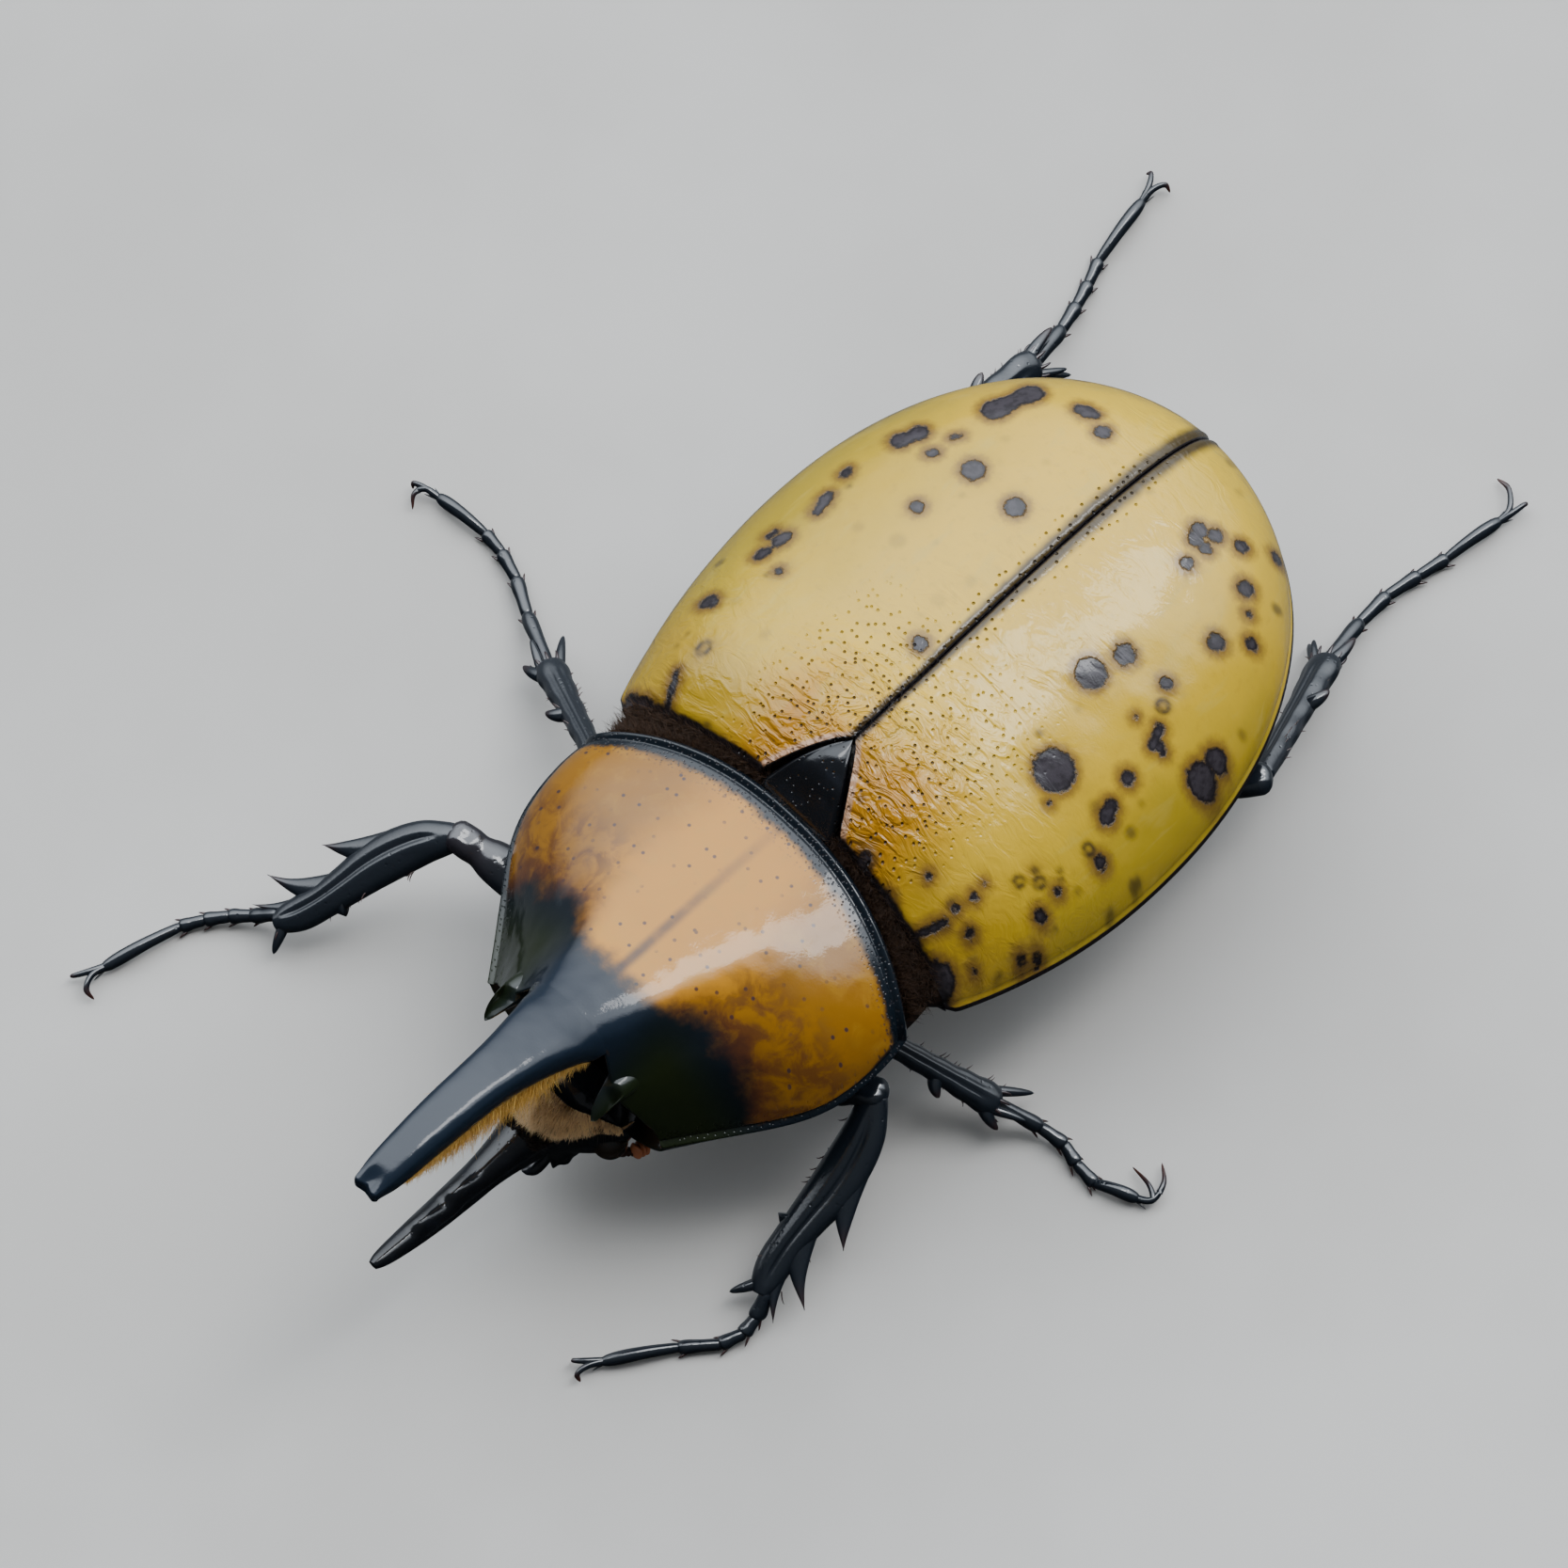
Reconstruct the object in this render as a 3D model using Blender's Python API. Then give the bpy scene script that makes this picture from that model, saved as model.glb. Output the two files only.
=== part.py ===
"""A life-size rhinoceros beetle, Dynastes maya male, standing still on its six feet.

The beetle faces -Y and its own left side is +X. Sizes are in millimetres, measured from a point on the
floor under the tip of the scutellum, until the meshes are made. The last step moves everything so that
the origin lies on the floor under the middle of the whole beetle.
"""
import math

import bmesh
import bpy
from mathutils import Matrix, Vector

MM = 0.001
GAP = 0.3
WELD = 0.004
SIDES = {"left": 1, "right": -1}

# Wing cases: one dome over the hind body, split along the middle
WING_HALF_WIDTH = 15.3
WING_WIDEST_Y = 8.5
WING_APEX_Y = 28.5
WING_BASE_Y = -4.1
WING_BASE_SWEEP = 1.4
WING_BASE_HALF_WIDTH = 12.4
WING_PLAN_POWER = 2.12
WING_SECTION_POWER = 2.12
WING_RIM_Z = 11.3
WING_CROWN_Z = 20.5
WING_LEVEL_Y = 5.0
WING_END_POWER = 2.8
WING_THICKNESS = 0.9
WING_SHOULDER_RISE = 1.4
WING_SHOULDER_REACH = 10.5
WING_APEX_FALL = 0.5
WING_BASE_BEND = 6.0
WING_TUCK = (0.3, 0.8)
WING_COLUMNS = 13
WING_ROWS = 20
WING_FRONT_CROWN = ((-6.0, 16.6), (-4.1, 18.6), (-2.0, 20.2), (0.0, 20.8), (3.0, 20.75), (5.0, 20.5))

# Scutellum: the small triangle between the bases of the wing cases
SCUTELLUM_BASE_Y = -4.15
SCUTELLUM_TIP_Y = -0.1
SCUTELLUM_HALF_WIDTH = 2.7
SCUTELLUM_RISE = 0.15
SCUTELLUM_POWER = 0.9
SCUTELLUM_CLEARANCE = 1.2 * GAP
SCUTELLUM_DEPTH = 0.72
SCUTELLUM_UNDERCUT = 0.92
SCUTELLUM_ROWS = 7
SCUTELLUM_COLUMNS = 8

# Hind body under the wing cases
BODY_INSET = WING_THICKNESS + GAP + 0.25
WAIST_Y = 9.0
BELLY_DROP = ((-5.0, 6.1), (-3.0, 6.8), (2.0, 7.2), (12.0, 7.0), (20.0, 6.6), (27.0, 5.5))
BELLY_POWER = ((-5.0, 1.1), (4.0, 1.15), (13.0, 1.2), (20.0, 1.6), (27.0, 2.0))
STERNITE_COUNT = 6
STERNITE_STEP = 0.3
STERNITE_SHAPE = ((0.0, 0.0), (0.55, 0.35), (0.92, 1.0))
STERNITE_LOW_Z = 1.5
BODY_COLUMNS = 7
CHEST_FRONT_Y = WING_BASE_Y + 0.1
CHEST_STATIONS = (-2.6, -0.8, 1.4, 3.8, 6.4, WAIST_Y - GAP)
CHEST_FRONT_CENTRE_Z = 10.8
CHEST_FRONT_SHARE = (0.86, 0.9)
CHEST_FRONT_SWEEP = 1.0
BODY_END_POWER = 2.4
BODY_END_ROOM = 0.8
BODY_END_STEPS = (0.7, 0.25)

# Prothorax: a dome behind that narrows and rises forward into the root of its horn
NECK_Y = -4.5
NECK_SWEEP = 2.9
NECK_SWEEP_HALF_WIDTH = 10.8
FRONT_Y = -21.1
SHIELD_HALF_WIDTH = ((-21.1, 6.7), (-17.9, 9.0), (-15.2, 10.9), (-13.0, 11.8), (-10.0, 12.1), (-7.0, 11.7),
                     (-4.5, 11.2))
SHIELD_MARGIN_Z = ((-21.1, 11.0), (-17.9, 11.3), (-15.2, 11.9), (-10.0, 12.7), (-4.5, 13.2))
SHIELD_CROWN_Z = ((-21.1, 21.2), (-18.5, 20.2), (-16.3, 19.6), (-13.0, 19.15), (-10.0, 18.7), (-6.8, 18.1),
                  (-4.5, 17.8))
SHIELD_DOME_POWER = 2.3
SHIELD_FRONT_PROFILE = ((0.0, 1.0), (0.2, 0.97), (0.34, 0.915), (0.42, 0.80), (0.46, 0.70), (0.52, 0.63),
                        (0.6, 0.56), (0.72, 0.42), (0.86, 0.21), (1.0, 0.0))
HOLLOW_START_Y = -9.0
STERNUM_DROP = ((-21.1, 5.4), (-16.0, 7.1), (-12.0, 7.9), (-8.0, 7.9), (-4.5, 7.4))
STERNUM_POWER = ((-21.1, 1.8), (-16.0, 1.3), (-12.0, 1.1), (-4.5, 1.0))
FACE_CENTRE_Z = 13.0
FACE_HOLLOW = 2.6
FACE_HOLLOW_TOP_Z = 17.2
FACE_HOLLOW_FULL_Z = 15.4
FACE_HOLLOW_LOW_Z = (10.2, 12.4)
FACE_SHARES = (0.82, 0.62, 0.42, 0.2)
REAR_SHARES = (0.3, 0.7)
NECK_SWEEP_POWER = 2.2
NECK_BEND = 6.0
SHIELD_COLUMNS = 11
SHIELD_STATIONS = (-5.3, -6.6, -8.2, -9.8, -11.4, -13.0, -14.6, -16.2, -17.8, -19.3, -20.4, FRONT_Y)
SHIELD_TOOTH = {"root": (3.5, -19.9, 15.9), "tip": (4.0, -23.9, 16.1), "bow": (0.1, 0.0, 0.65)}
SHIELD_TOOTH_RADIUS = 0.85

# Horn of the prothorax: (y, half width, top z, depth)
HORN_ROOT_GAP_Y = FRONT_Y - GAP
HORN_STATIONS = ((HORN_ROOT_GAP_Y, 2.62, 21.25, 4.0), (-22.4, 2.35, 21.7, 3.75), (-24.0, 1.95, 22.4, 3.4),
                 (-26.0, 1.6, 23.15, 3.1), (-28.0, 1.42, 23.75, 2.9), (-30.0, 1.34, 24.1, 2.75),
                 (-32.0, 1.26, 24.25, 2.6), (-34.0, 1.16, 24.2, 2.35), (-35.3, 1.12, 24.1, 2.0),
                 (-36.5, 1.1, 24.0, 1.5))
HORN_NOTCH = 0.45
HORN_SIDES = 16
HORN_END_DROP = 0.75

# Head: (y, half width, centre z, half height), its horn the same
HEAD_STATIONS = ((-21.4, 4.3, 8.3, 2.7), (-22.3, 4.2, 8.15, 2.7), (-23.2, 3.6, 7.8, 2.45),
                 (-23.9, 2.7, 7.5, 2.1), (-24.3, 1.9, 7.4, 1.75))
CLYPEUS_STATIONS = ((-22.0, 2.6, 5.9, 1.2), (-23.4, 2.1, 4.8, 0.85), (-24.6, 1.5, 4.2, 0.6))
HEAD_HORN_STATIONS = ((-24.6, 1.6, 7.4, 1.6), (-26.0, 1.3, 7.7, 1.4), (-28.0, 1.08, 8.0, 1.22),
                      (-30.0, 0.98, 8.3, 1.1), (-32.0, 0.9, 8.7, 1.0), (-34.0, 0.78, 9.3, 0.86),
                      (-35.6, 0.58, 9.9, 0.6), (-36.6, 0.3, 10.35, 0.3))
HEAD_HORN_TEETH = ((-31.0, 0.75), (-33.5, 0.6))
EYE_RADIUS = 1.0
EYE_PLACE = (3.6, -22.38, 8.04)
HEAD_SIDES = 20
SMALL_SIDES = 14
PALP_PATH = ((1.6, -22.6, 5.2), (2.2, -23.6, 3.6), (2.0, -24.4, 3.0), (1.5, -25.0, 2.8))
PALP_WIDTHS = (0.7, 0.6, 0.6, 0.5)
MANDIBLE_PATH = ((0.75, -24.95, 4.15), (0.8, -25.4, 4.1), (0.65, -25.8, 4.0), (0.4, -26.1, 4.0))
MANDIBLE_SIZES = ((0.9, 0.8), (0.8, 0.7), (0.55, 0.5), (0, 0))
ANTENNA_PATH = ((3.8, -22.6, 6.1), (4.3, -22.8, 5.5), (4.8, -22.4, 5.1), (4.95, -21.9, 4.95),
                (4.95, -21.4, 4.95))
ANTENNA_SIZES = ((0.7, 0.7), (0.85, 0.8), (0.55, 0.55), (0.6, 0.6), (0.7, 0.7))
CLUB_PATH = ((4.95, -21.7, 4.85), (4.95, -21.4, 5.2), (4.85, -21.2, 5.7), (4.75, -21.1, 6.2), (4.7, -21.1, 6.5))
CLUB_SIZES = ((0.6, 0.8), (0.75, 1.1), (0.8, 1.2), (0.6, 0.8), (0, 0))

# Legs: joints from the hip outwards, as (x, y, z)
HIP_RADIUS = 1.8
HIP_INWARD = 0.55
HIP_DEPTH = 4.0
HIP_SIDES = 12
LIMB_SIDES = 10
LIMB_PLACES = (0.0, 0.18, 0.36, 0.54, 0.72, 0.86, 1.0)
HIP_CONE = ((2.8, 2.6), (3.6, 3.0), (4.0, 3.0))
LEGS = {
    "front_left": {
        "hip": (4.0, -13.6, 5.4), "knee": (11.9, -10.4, 8.0), "ankle": (14.4, -21.4, 1.9),
        "toes": ((14.7, -22.4, 0.95), (14.8, -23.5, 0.7), (14.3, -24.8, 0.55), (12.8, -26.5, 0.47),
                 (10.4, -30.0, 0.5)),
        "claws": ((9.2, -30.9, 0.3), (10.3, -31.6, 0.3)),
    },
    "front_right": {
        "hip": (-4.0, -13.6, 5.4), "knee": (-14.6, -15.8, 8.0), "ankle": (-20.3, -24.9, 1.9),
        "toes": ((-21.4, -25.5, 0.95), (-22.4, -26.4, 0.7), (-23.3, -27.5, 0.55), (-24.0, -28.7, 0.47),
                 (-25.3, -33.4, 0.5)),
        "claws": ((-24.4, -35.0, 0.3), (-26.3, -34.9, 0.3)),
    },
    "middle_left": {
        "hip": (3.8, -1.6, 4.6), "knee": (9.0, -8.3, 8.5), "ankle": (15.9, -4.8, 2.4),
        "toes": ((18.2, -3.8, 1.05), (19.8, -3.5, 0.7), (21.0, -3.8, 0.55), (22.5, -3.9, 0.47),
                 (24.8, -2.9, 0.5)),
        "claws": ((24.3, -0.4, 0.3), (23.3, -1.7, 0.3)),
    },
    "middle_right": {
        "hip": (-3.8, -1.6, 4.6), "knee": (-11.6, -7.7, 8.5), "ankle": (-19.9, -3.9, 2.4),
        "toes": ((-23.2, -2.3, 1.05), (-25.3, -1.1, 0.7), (-27.1, -0.5, 0.55), (-28.6, -0.3, 0.47),
                 (-32.1, -0.6, 0.5)),
        "claws": ((-32.7, -2.1, 0.3), (-33.6, -1.2, 0.3)),
    },
    "hind_left": {
        "hip": (4.0, 6.8, 4.0), "knee": (14.3, 17.4, 7.9), "ankle": (11.0, 26.9, 2.4),
        "toes": ((10.5, 30.2, 1.05), (10.4, 32.6, 0.7), (10.8, 34.8, 0.55), (11.2, 36.7, 0.47),
                 (11.8, 40.5, 0.5)),
        "claws": ((9.9, 42.4, 0.3), (12.2, 42.3, 0.3)),
    },
    "hind_right": {
        "hip": (-4.0, 6.8, 4.0), "knee": (-13.3, 16.4, 6.8), "ankle": (-13.2, 28.6, 2.2),
        "toes": ((-13.9, 31.4, 1.05), (-14.4, 33.2, 0.7), (-14.9, 34.7, 0.55), (-15.5, 36.2, 0.47),
                 (-16.3, 40.7, 0.5)),
        "claws": ((-15.6, 42.3, 0.3), (-17.4, 42.2, 0.3)),
    },
}
# Teeth on the outer edge of a shin: (place of the root, place of the tip, reach outwards, root radius)
SHIN_TEETH = {
    "front": ((0.46, 0.60, 2.6, 0.55), (0.78, 0.93, 2.4, 0.55), (0.96, 1.05, 1.3, 0.42)),
    "middle": ((0.55, 0.62, 1.35, 0.34), (0.9, 1.06, 1.3, 0.34)),
    "hind": ((0.6, 0.68, 1.6, 0.36), (0.93, 1.14, 1.3, 0.34)),
}
TOOTH_SUNK = 0.35
TOOTH_BOW = (0.12, 0.15)
TOOTH_GIRTH = 1.25
# Spurs at the end of a shin: (reach along it, reach inwards, reach upwards, root radius)
SHIN_SPURS = {
    "front": ((0.9, 1.9, -0.1, 0.36),),
    "middle": ((1.9, 1.5, 0.2, 0.32), (1.5, -0.4, 1.0, 0.3)),
    "hind": ((2.1, 2.0, 0.2, 0.32), (1.5, 1.1, 0.7, 0.3)),
}
SPUR_SUNK = 0.6
SPUR_ASIDE = 0.5
SPUR_LOW_Z = 0.35
# The way the teeth of a shin point, for a leg of the left side
SHIN_OUTWARD = {"front": (1.0, 0.35, 0.15), "middle": (0.0, -1.0, 0.3), "hind": (0.6, 0.0, 0.8)}
# Widths of a thigh and a shin along their length: (place, width, thickness)
THIGH_SIZES = {
    "front": ((0.0, 2.2, 2.0), (0.3, 2.9, 2.3), (0.65, 2.7, 2.1), (0.88, 2.1, 1.8), (1.0, 1.9, 1.7)),
    "middle": ((0.0, 2.0, 1.8), (0.3, 2.7, 1.9), (0.65, 2.5, 1.8), (0.88, 1.9, 1.7), (1.0, 1.8, 1.6)),
    "hind": ((0.0, 2.2, 1.8), (0.3, 3.0, 2.0), (0.65, 2.7, 1.9), (0.88, 2.1, 1.8), (1.0, 1.9, 1.7)),
}
SHIN_SIZES = {
    "front": ((0.0, 1.5, 1.4), (0.15, 1.9, 1.5), (0.5, 2.3, 1.5), (0.8, 2.4, 1.4), (1.0, 1.9, 1.2)),
    "middle": ((0.0, 1.2, 1.2), (0.2, 1.3, 1.25), (0.6, 1.5, 1.3), (0.9, 1.9, 1.5), (1.0, 1.8, 1.4)),
    "hind": ((0.0, 1.3, 1.2), (0.2, 1.4, 1.3), (0.6, 1.7, 1.4), (0.9, 2.3, 1.6), (1.0, 2.1, 1.5)),
}
KNEE_STEPS = ((0.5, (1.5, 1.4)), (0.75, (0.8, 0.7)))
KNEE_ROOM = 1.2 * GAP
HIP_ROOM = 1.1 * GAP
TOE_ROOM = 1.1 * GAP
TOE_PLACES = (0.06, 0.5, 0.94)
TOE_TAPER = (1.15, 0.05)
TOE_SIDES = 8
CLAW_RADIUS = 0.33
CLAW_SUNK = 0.7
CLAW_BOW = (0.5, 0.25)
FLOOR_SLAB = 40
THORN_SHAPE = ((0.0, 1.0), (0.35, 0.88), (0.7, 0.55), (1.0, 0.0))
TOE_RADII = (0.34, 0.42, 0.56)
CLAW_TOE_RADII = (0.32, 0.46, 0.44)

COLOURS = {
    "shield": ((0.55, 0.20, 0.05), 0.18),
    "horn_black": ((0.012, 0.014, 0.018), 0.22),
    "wing_case": ((0.50, 0.38, 0.10), 0.2),
    "leg_black": ((0.010, 0.012, 0.016), 0.3),
    "belly": ((0.03, 0.018, 0.012), 0.4),
    "eye": ((0.01, 0.008, 0.006), 0.08),
    "antenna": ((0.12, 0.04, 0.015), 0.4),
}


def tabled(table, value):
    """The value of a smooth curve through the table's points, held level past its ends."""
    if value <= table[0][0]:
        return table[0][1]
    if value >= table[-1][0]:
        return table[-1][1]
    last = len(table) - 1
    index = next(i for i in range(last) if value <= table[i + 1][0])
    (x0, y0), (x1, y1) = table[index], table[index + 1]
    before, after = table[max(index - 1, 0)], table[min(index + 2, last)]
    slope_0 = (y1 - before[1]) / (x1 - before[0])
    slope_1 = (after[1] - y0) / (after[0] - x0)
    width = x1 - x0
    t = (value - x0) / width
    return ((2 * t**3 - 3 * t**2 + 1) * y0 + (t**3 - 2 * t**2 + t) * width * slope_0
            + (3 * t**2 - 2 * t**3) * y1 + (t**3 - t**2) * width * slope_1)


def eased(start, end, value):
    """0 before start, 1 after end and an S-curve between; start may be the greater."""
    t = min(max((value - start) / (end - start), 0.0), 1.0)
    return t * t * (3 - 2 * t)


def arch(ratio, power):
    """The height of a superellipse of unit size at this share of its half width."""
    return max(1.0 - abs(ratio) ** power, 0.0) ** (1.0 / power)


def material(name):
    found = bpy.data.materials.get(name)
    if found:
        return found
    colour, roughness = COLOURS[name]
    made = bpy.data.materials.new(name)
    made.use_nodes = True
    shader = made.node_tree.nodes["Principled BSDF"]
    shader.inputs["Base Color"].default_value = (*colour, 1.0)
    shader.inputs["Roughness"].default_value = roughness
    shader.inputs["Metallic"].default_value = 0.0
    return made


def add_piece(name, points, faces, finish, collection):
    """An object from points in millimetres, with every face turned outwards."""
    mesh = bpy.data.meshes.new(name)
    mesh.from_pydata([Vector(point) * MM for point in points], [], faces)
    turned = bmesh.new()
    turned.from_mesh(mesh)
    bmesh.ops.recalc_face_normals(turned, faces=turned.faces)
    turned.to_mesh(mesh)
    turned.free()
    mesh.materials.append(material(finish))
    mesh.shade_smooth()
    piece = bpy.data.objects.new(name, mesh)
    collection.objects.link(piece)
    return piece


def loft(name, rings, finish, collection):
    """A closed skin through rings of equal count. A first or last ring of one point is a tip."""
    points = [point for ring in rings for point in ring]
    starts = [sum(len(ring) for ring in rings[:index]) for index in range(len(rings))]
    faces = []
    for start, ring, after, following in zip(starts, rings, starts[1:], rings[1:]):
        count = max(len(ring), len(following))
        for i in range(count):
            j = (i + 1) % count
            near = [start + i, start + j] if len(ring) > 1 else [start]
            far = [after + j, after + i] if len(following) > 1 else [after]
            faces.append(near + far)
    if len(rings[0]) > 1:
        faces.append(list(range(len(rings[0]))))
    if len(rings[-1]) > 1:
        faces.append([starts[-1] + i for i in range(len(rings[-1]))])
    return add_piece(name, points, faces, finish, collection)


def limb(name, path, sizes, across, finish, collection, sides=8):
    """A tube along a path. Each size is (width, thickness), the width lying along the direction across."""
    path = [Vector(point) for point in path]
    rings = []
    for index, (centre, (width, thickness)) in enumerate(zip(path, sizes)):
        before, after = path[max(index - 1, 0)], path[min(index + 1, len(path) - 1)]
        along = (after - before).normalized()
        side = (Vector(across) - Vector(across).dot(along) * along).normalized()
        upward = along.cross(side)
        if width == 0:
            rings.append([centre])
            continue
        ring = []
        for step in range(sides):
            angle = 2 * math.pi * step / sides
            offset = side * (width / 2 * math.cos(angle)) + upward * (thickness / 2 * math.sin(angle))
            ring.append(centre + offset)
        rings.append(ring)
    return loft(name, rings, finish, collection)


def thorn(name, root, tip, radius, bow, finish, collection, sides=6):
    """A tooth or claw that tapers from a sunken root to its tip, bowed by the vector bow at its middle."""
    root, tip, bow = Vector(root), Vector(tip), Vector(bow)
    path = [root.lerp(tip, place) + bow * (4 * place * (1 - place)) for place, _ in THORN_SHAPE]
    sizes = [(2 * radius * share, 2 * radius * share) for _, share in THORN_SHAPE]
    across = (tip - root).orthogonal()
    return limb(name, path, sizes, across, finish, collection, sides)


def largest_closed(mesh):
    """Keep only the surface with the most faces, and weld its points that all but touch."""
    work = bmesh.new()
    work.from_mesh(mesh)
    unseen = set(work.faces)
    shells = []
    while unseen:
        stack = [unseen.pop()]
        shell = list(stack)
        while stack:
            for edge in stack.pop().edges:
                for face in edge.link_faces:
                    if face in unseen:
                        unseen.remove(face)
                        stack.append(face)
                        shell.append(face)
        shells.append(shell)
    shells.sort(key=len)
    for shell in shells[:-1]:
        bmesh.ops.delete(work, geom=shell, context="FACES")
    bmesh.ops.delete(work, geom=[vert for vert in work.verts if not vert.link_faces], context="VERTS")
    bmesh.ops.triangulate(work, faces=work.faces)
    bmesh.ops.remove_doubles(work, verts=work.verts, dist=WELD * MM)
    work.to_mesh(mesh)
    work.free()


def combine(piece, others, operation, solver="MANIFOLD"):
    """Apply one Boolean with every other piece and remove those pieces."""
    helpers = bpy.data.collections.new(piece.name + "_helpers")
    bpy.context.scene.collection.children.link(helpers)
    for other in others:
        for owner in list(other.users_collection):
            owner.objects.unlink(other)
        helpers.objects.link(other)
    step = piece.modifiers.new("combine", "BOOLEAN")
    step.operation = operation
    step.operand_type = "COLLECTION"
    step.collection = helpers
    step.solver = solver
    bpy.context.view_layer.update()
    shaped = bpy.data.meshes.new_from_object(piece.evaluated_get(bpy.context.evaluated_depsgraph_get()))
    piece.modifiers.clear()
    piece.data = shaped
    largest_closed(shaped)
    shaped.shade_smooth()
    for other in others:
        bpy.data.objects.remove(other)
    bpy.data.collections.remove(helpers)
    return piece


def ball(name, centre, radius, collection, segments=16, rings=10):
    mesh = bpy.data.meshes.new(name)
    work = bmesh.new()
    bmesh.ops.create_uvsphere(work, u_segments=segments, v_segments=rings, radius=radius * MM,
                              matrix=Matrix.Translation(Vector(centre) * MM))
    work.to_mesh(mesh)
    work.free()
    piece = bpy.data.objects.new(name, mesh)
    collection.objects.link(piece)
    return piece


def make_hip(name, collection, room=0.0):
    """The hip that carries a leg: a ball on a short cone sunk into the belly."""
    hip = Vector(LEGS[name]["hip"])
    inside = Vector((HIP_INWARD * hip.x, hip.y, hip.z + HIP_DEPTH))
    sizes = [(width + 2 * room, depth + 2 * room) for width, depth in HIP_CONE]
    path = (hip, hip.lerp(inside, 0.5), inside)
    cone = limb("hip_cone", path, sizes, (1, 0, 0), "belly", collection, HIP_SIDES)
    return [ball("hip", hip, HIP_RADIUS + room, collection, 14, 8), cone]


def wing_half_width(y, inset=0.0):
    """Half the width over both wing cases at y, for the surface this far inside the outer one."""
    widest = WING_HALF_WIDTH - inset
    if y > WING_WIDEST_Y:
        return widest * arch((y - WING_WIDEST_Y) / (WING_APEX_Y - inset - WING_WIDEST_Y), WING_PLAN_POWER)
    reach = WING_WIDEST_Y - WING_BASE_Y + WING_BASE_SWEEP
    taper = (1 - WING_BASE_HALF_WIDTH / WING_HALF_WIDTH) * ((WING_WIDEST_Y - y) / reach) ** 2
    return WING_HALF_WIDTH * (1 - taper) - inset


def wing_rim_z(y):
    if y < WING_LEVEL_Y:
        return WING_RIM_Z + WING_SHOULDER_RISE * ((WING_LEVEL_Y - y) / WING_SHOULDER_REACH) ** 1.5
    return WING_RIM_Z - WING_APEX_FALL * ((y - WING_LEVEL_Y) / (WING_APEX_Y - WING_LEVEL_Y)) ** 2


def wing_crown_z(y, inset=0.0):
    if y < WING_LEVEL_Y:
        return tabled(WING_FRONT_CROWN, y) - inset
    fall = arch((y - WING_LEVEL_Y) / (WING_APEX_Y - inset - WING_LEVEL_Y), WING_END_POWER)
    rim = wing_rim_z(y)
    return rim + (WING_CROWN_Z - inset - WING_RIM_Z) * fall + (WING_RIM_Z - rim) * fall


def scutellum_half_width(y):
    """Half the width of the scutellum, which narrows to its tip."""
    share = (SCUTELLUM_TIP_Y - y) / (SCUTELLUM_TIP_Y - SCUTELLUM_BASE_Y)
    return SCUTELLUM_HALF_WIDTH * max(share, 0.0) ** SCUTELLUM_POWER


def wing_inner_x(y):
    """Where a wing case begins beside the suture or the scutellum."""
    if y > SCUTELLUM_TIP_Y + SCUTELLUM_CLEARANCE:
        return GAP / 2
    return max(GAP / 2, scutellum_half_width(y) + SCUTELLUM_CLEARANCE)


def wing_surface(x, y, inset=0.0):
    """The height of the dome of the wing cases at x, y."""
    half = max(wing_half_width(y, inset), 1e-6)
    rim = wing_rim_z(y)
    return rim + (wing_crown_z(y, inset) - rim) * arch(min(abs(x) / half, 1.0), WING_SECTION_POWER)


def wing_point(across, station, inset):
    """A point of one wing case: across runs from the suture, 0, to the rim, 1, and station is its y."""
    share = 2 / WING_SECTION_POWER
    base_weight = 1 - eased(WING_BASE_Y, WING_BASE_Y + WING_BASE_BEND, station)
    y = station
    for _ in range(3):
        half = wing_half_width(y, inset)
        inner = min(wing_inner_x(y), half)
        start = math.asin(min((inner / half) ** (1 / share), 1.0)) if half > 0 else math.pi / 2
        angle = start + (math.pi / 2 - start) * across
        x = max(half * math.sin(angle) ** share, GAP / 2)
        y = station - base_weight * WING_BASE_SWEEP * (x / WING_BASE_HALF_WIDTH) ** 2
    return Vector((x, y, wing_surface(min(x, half), y, inset)))


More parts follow.
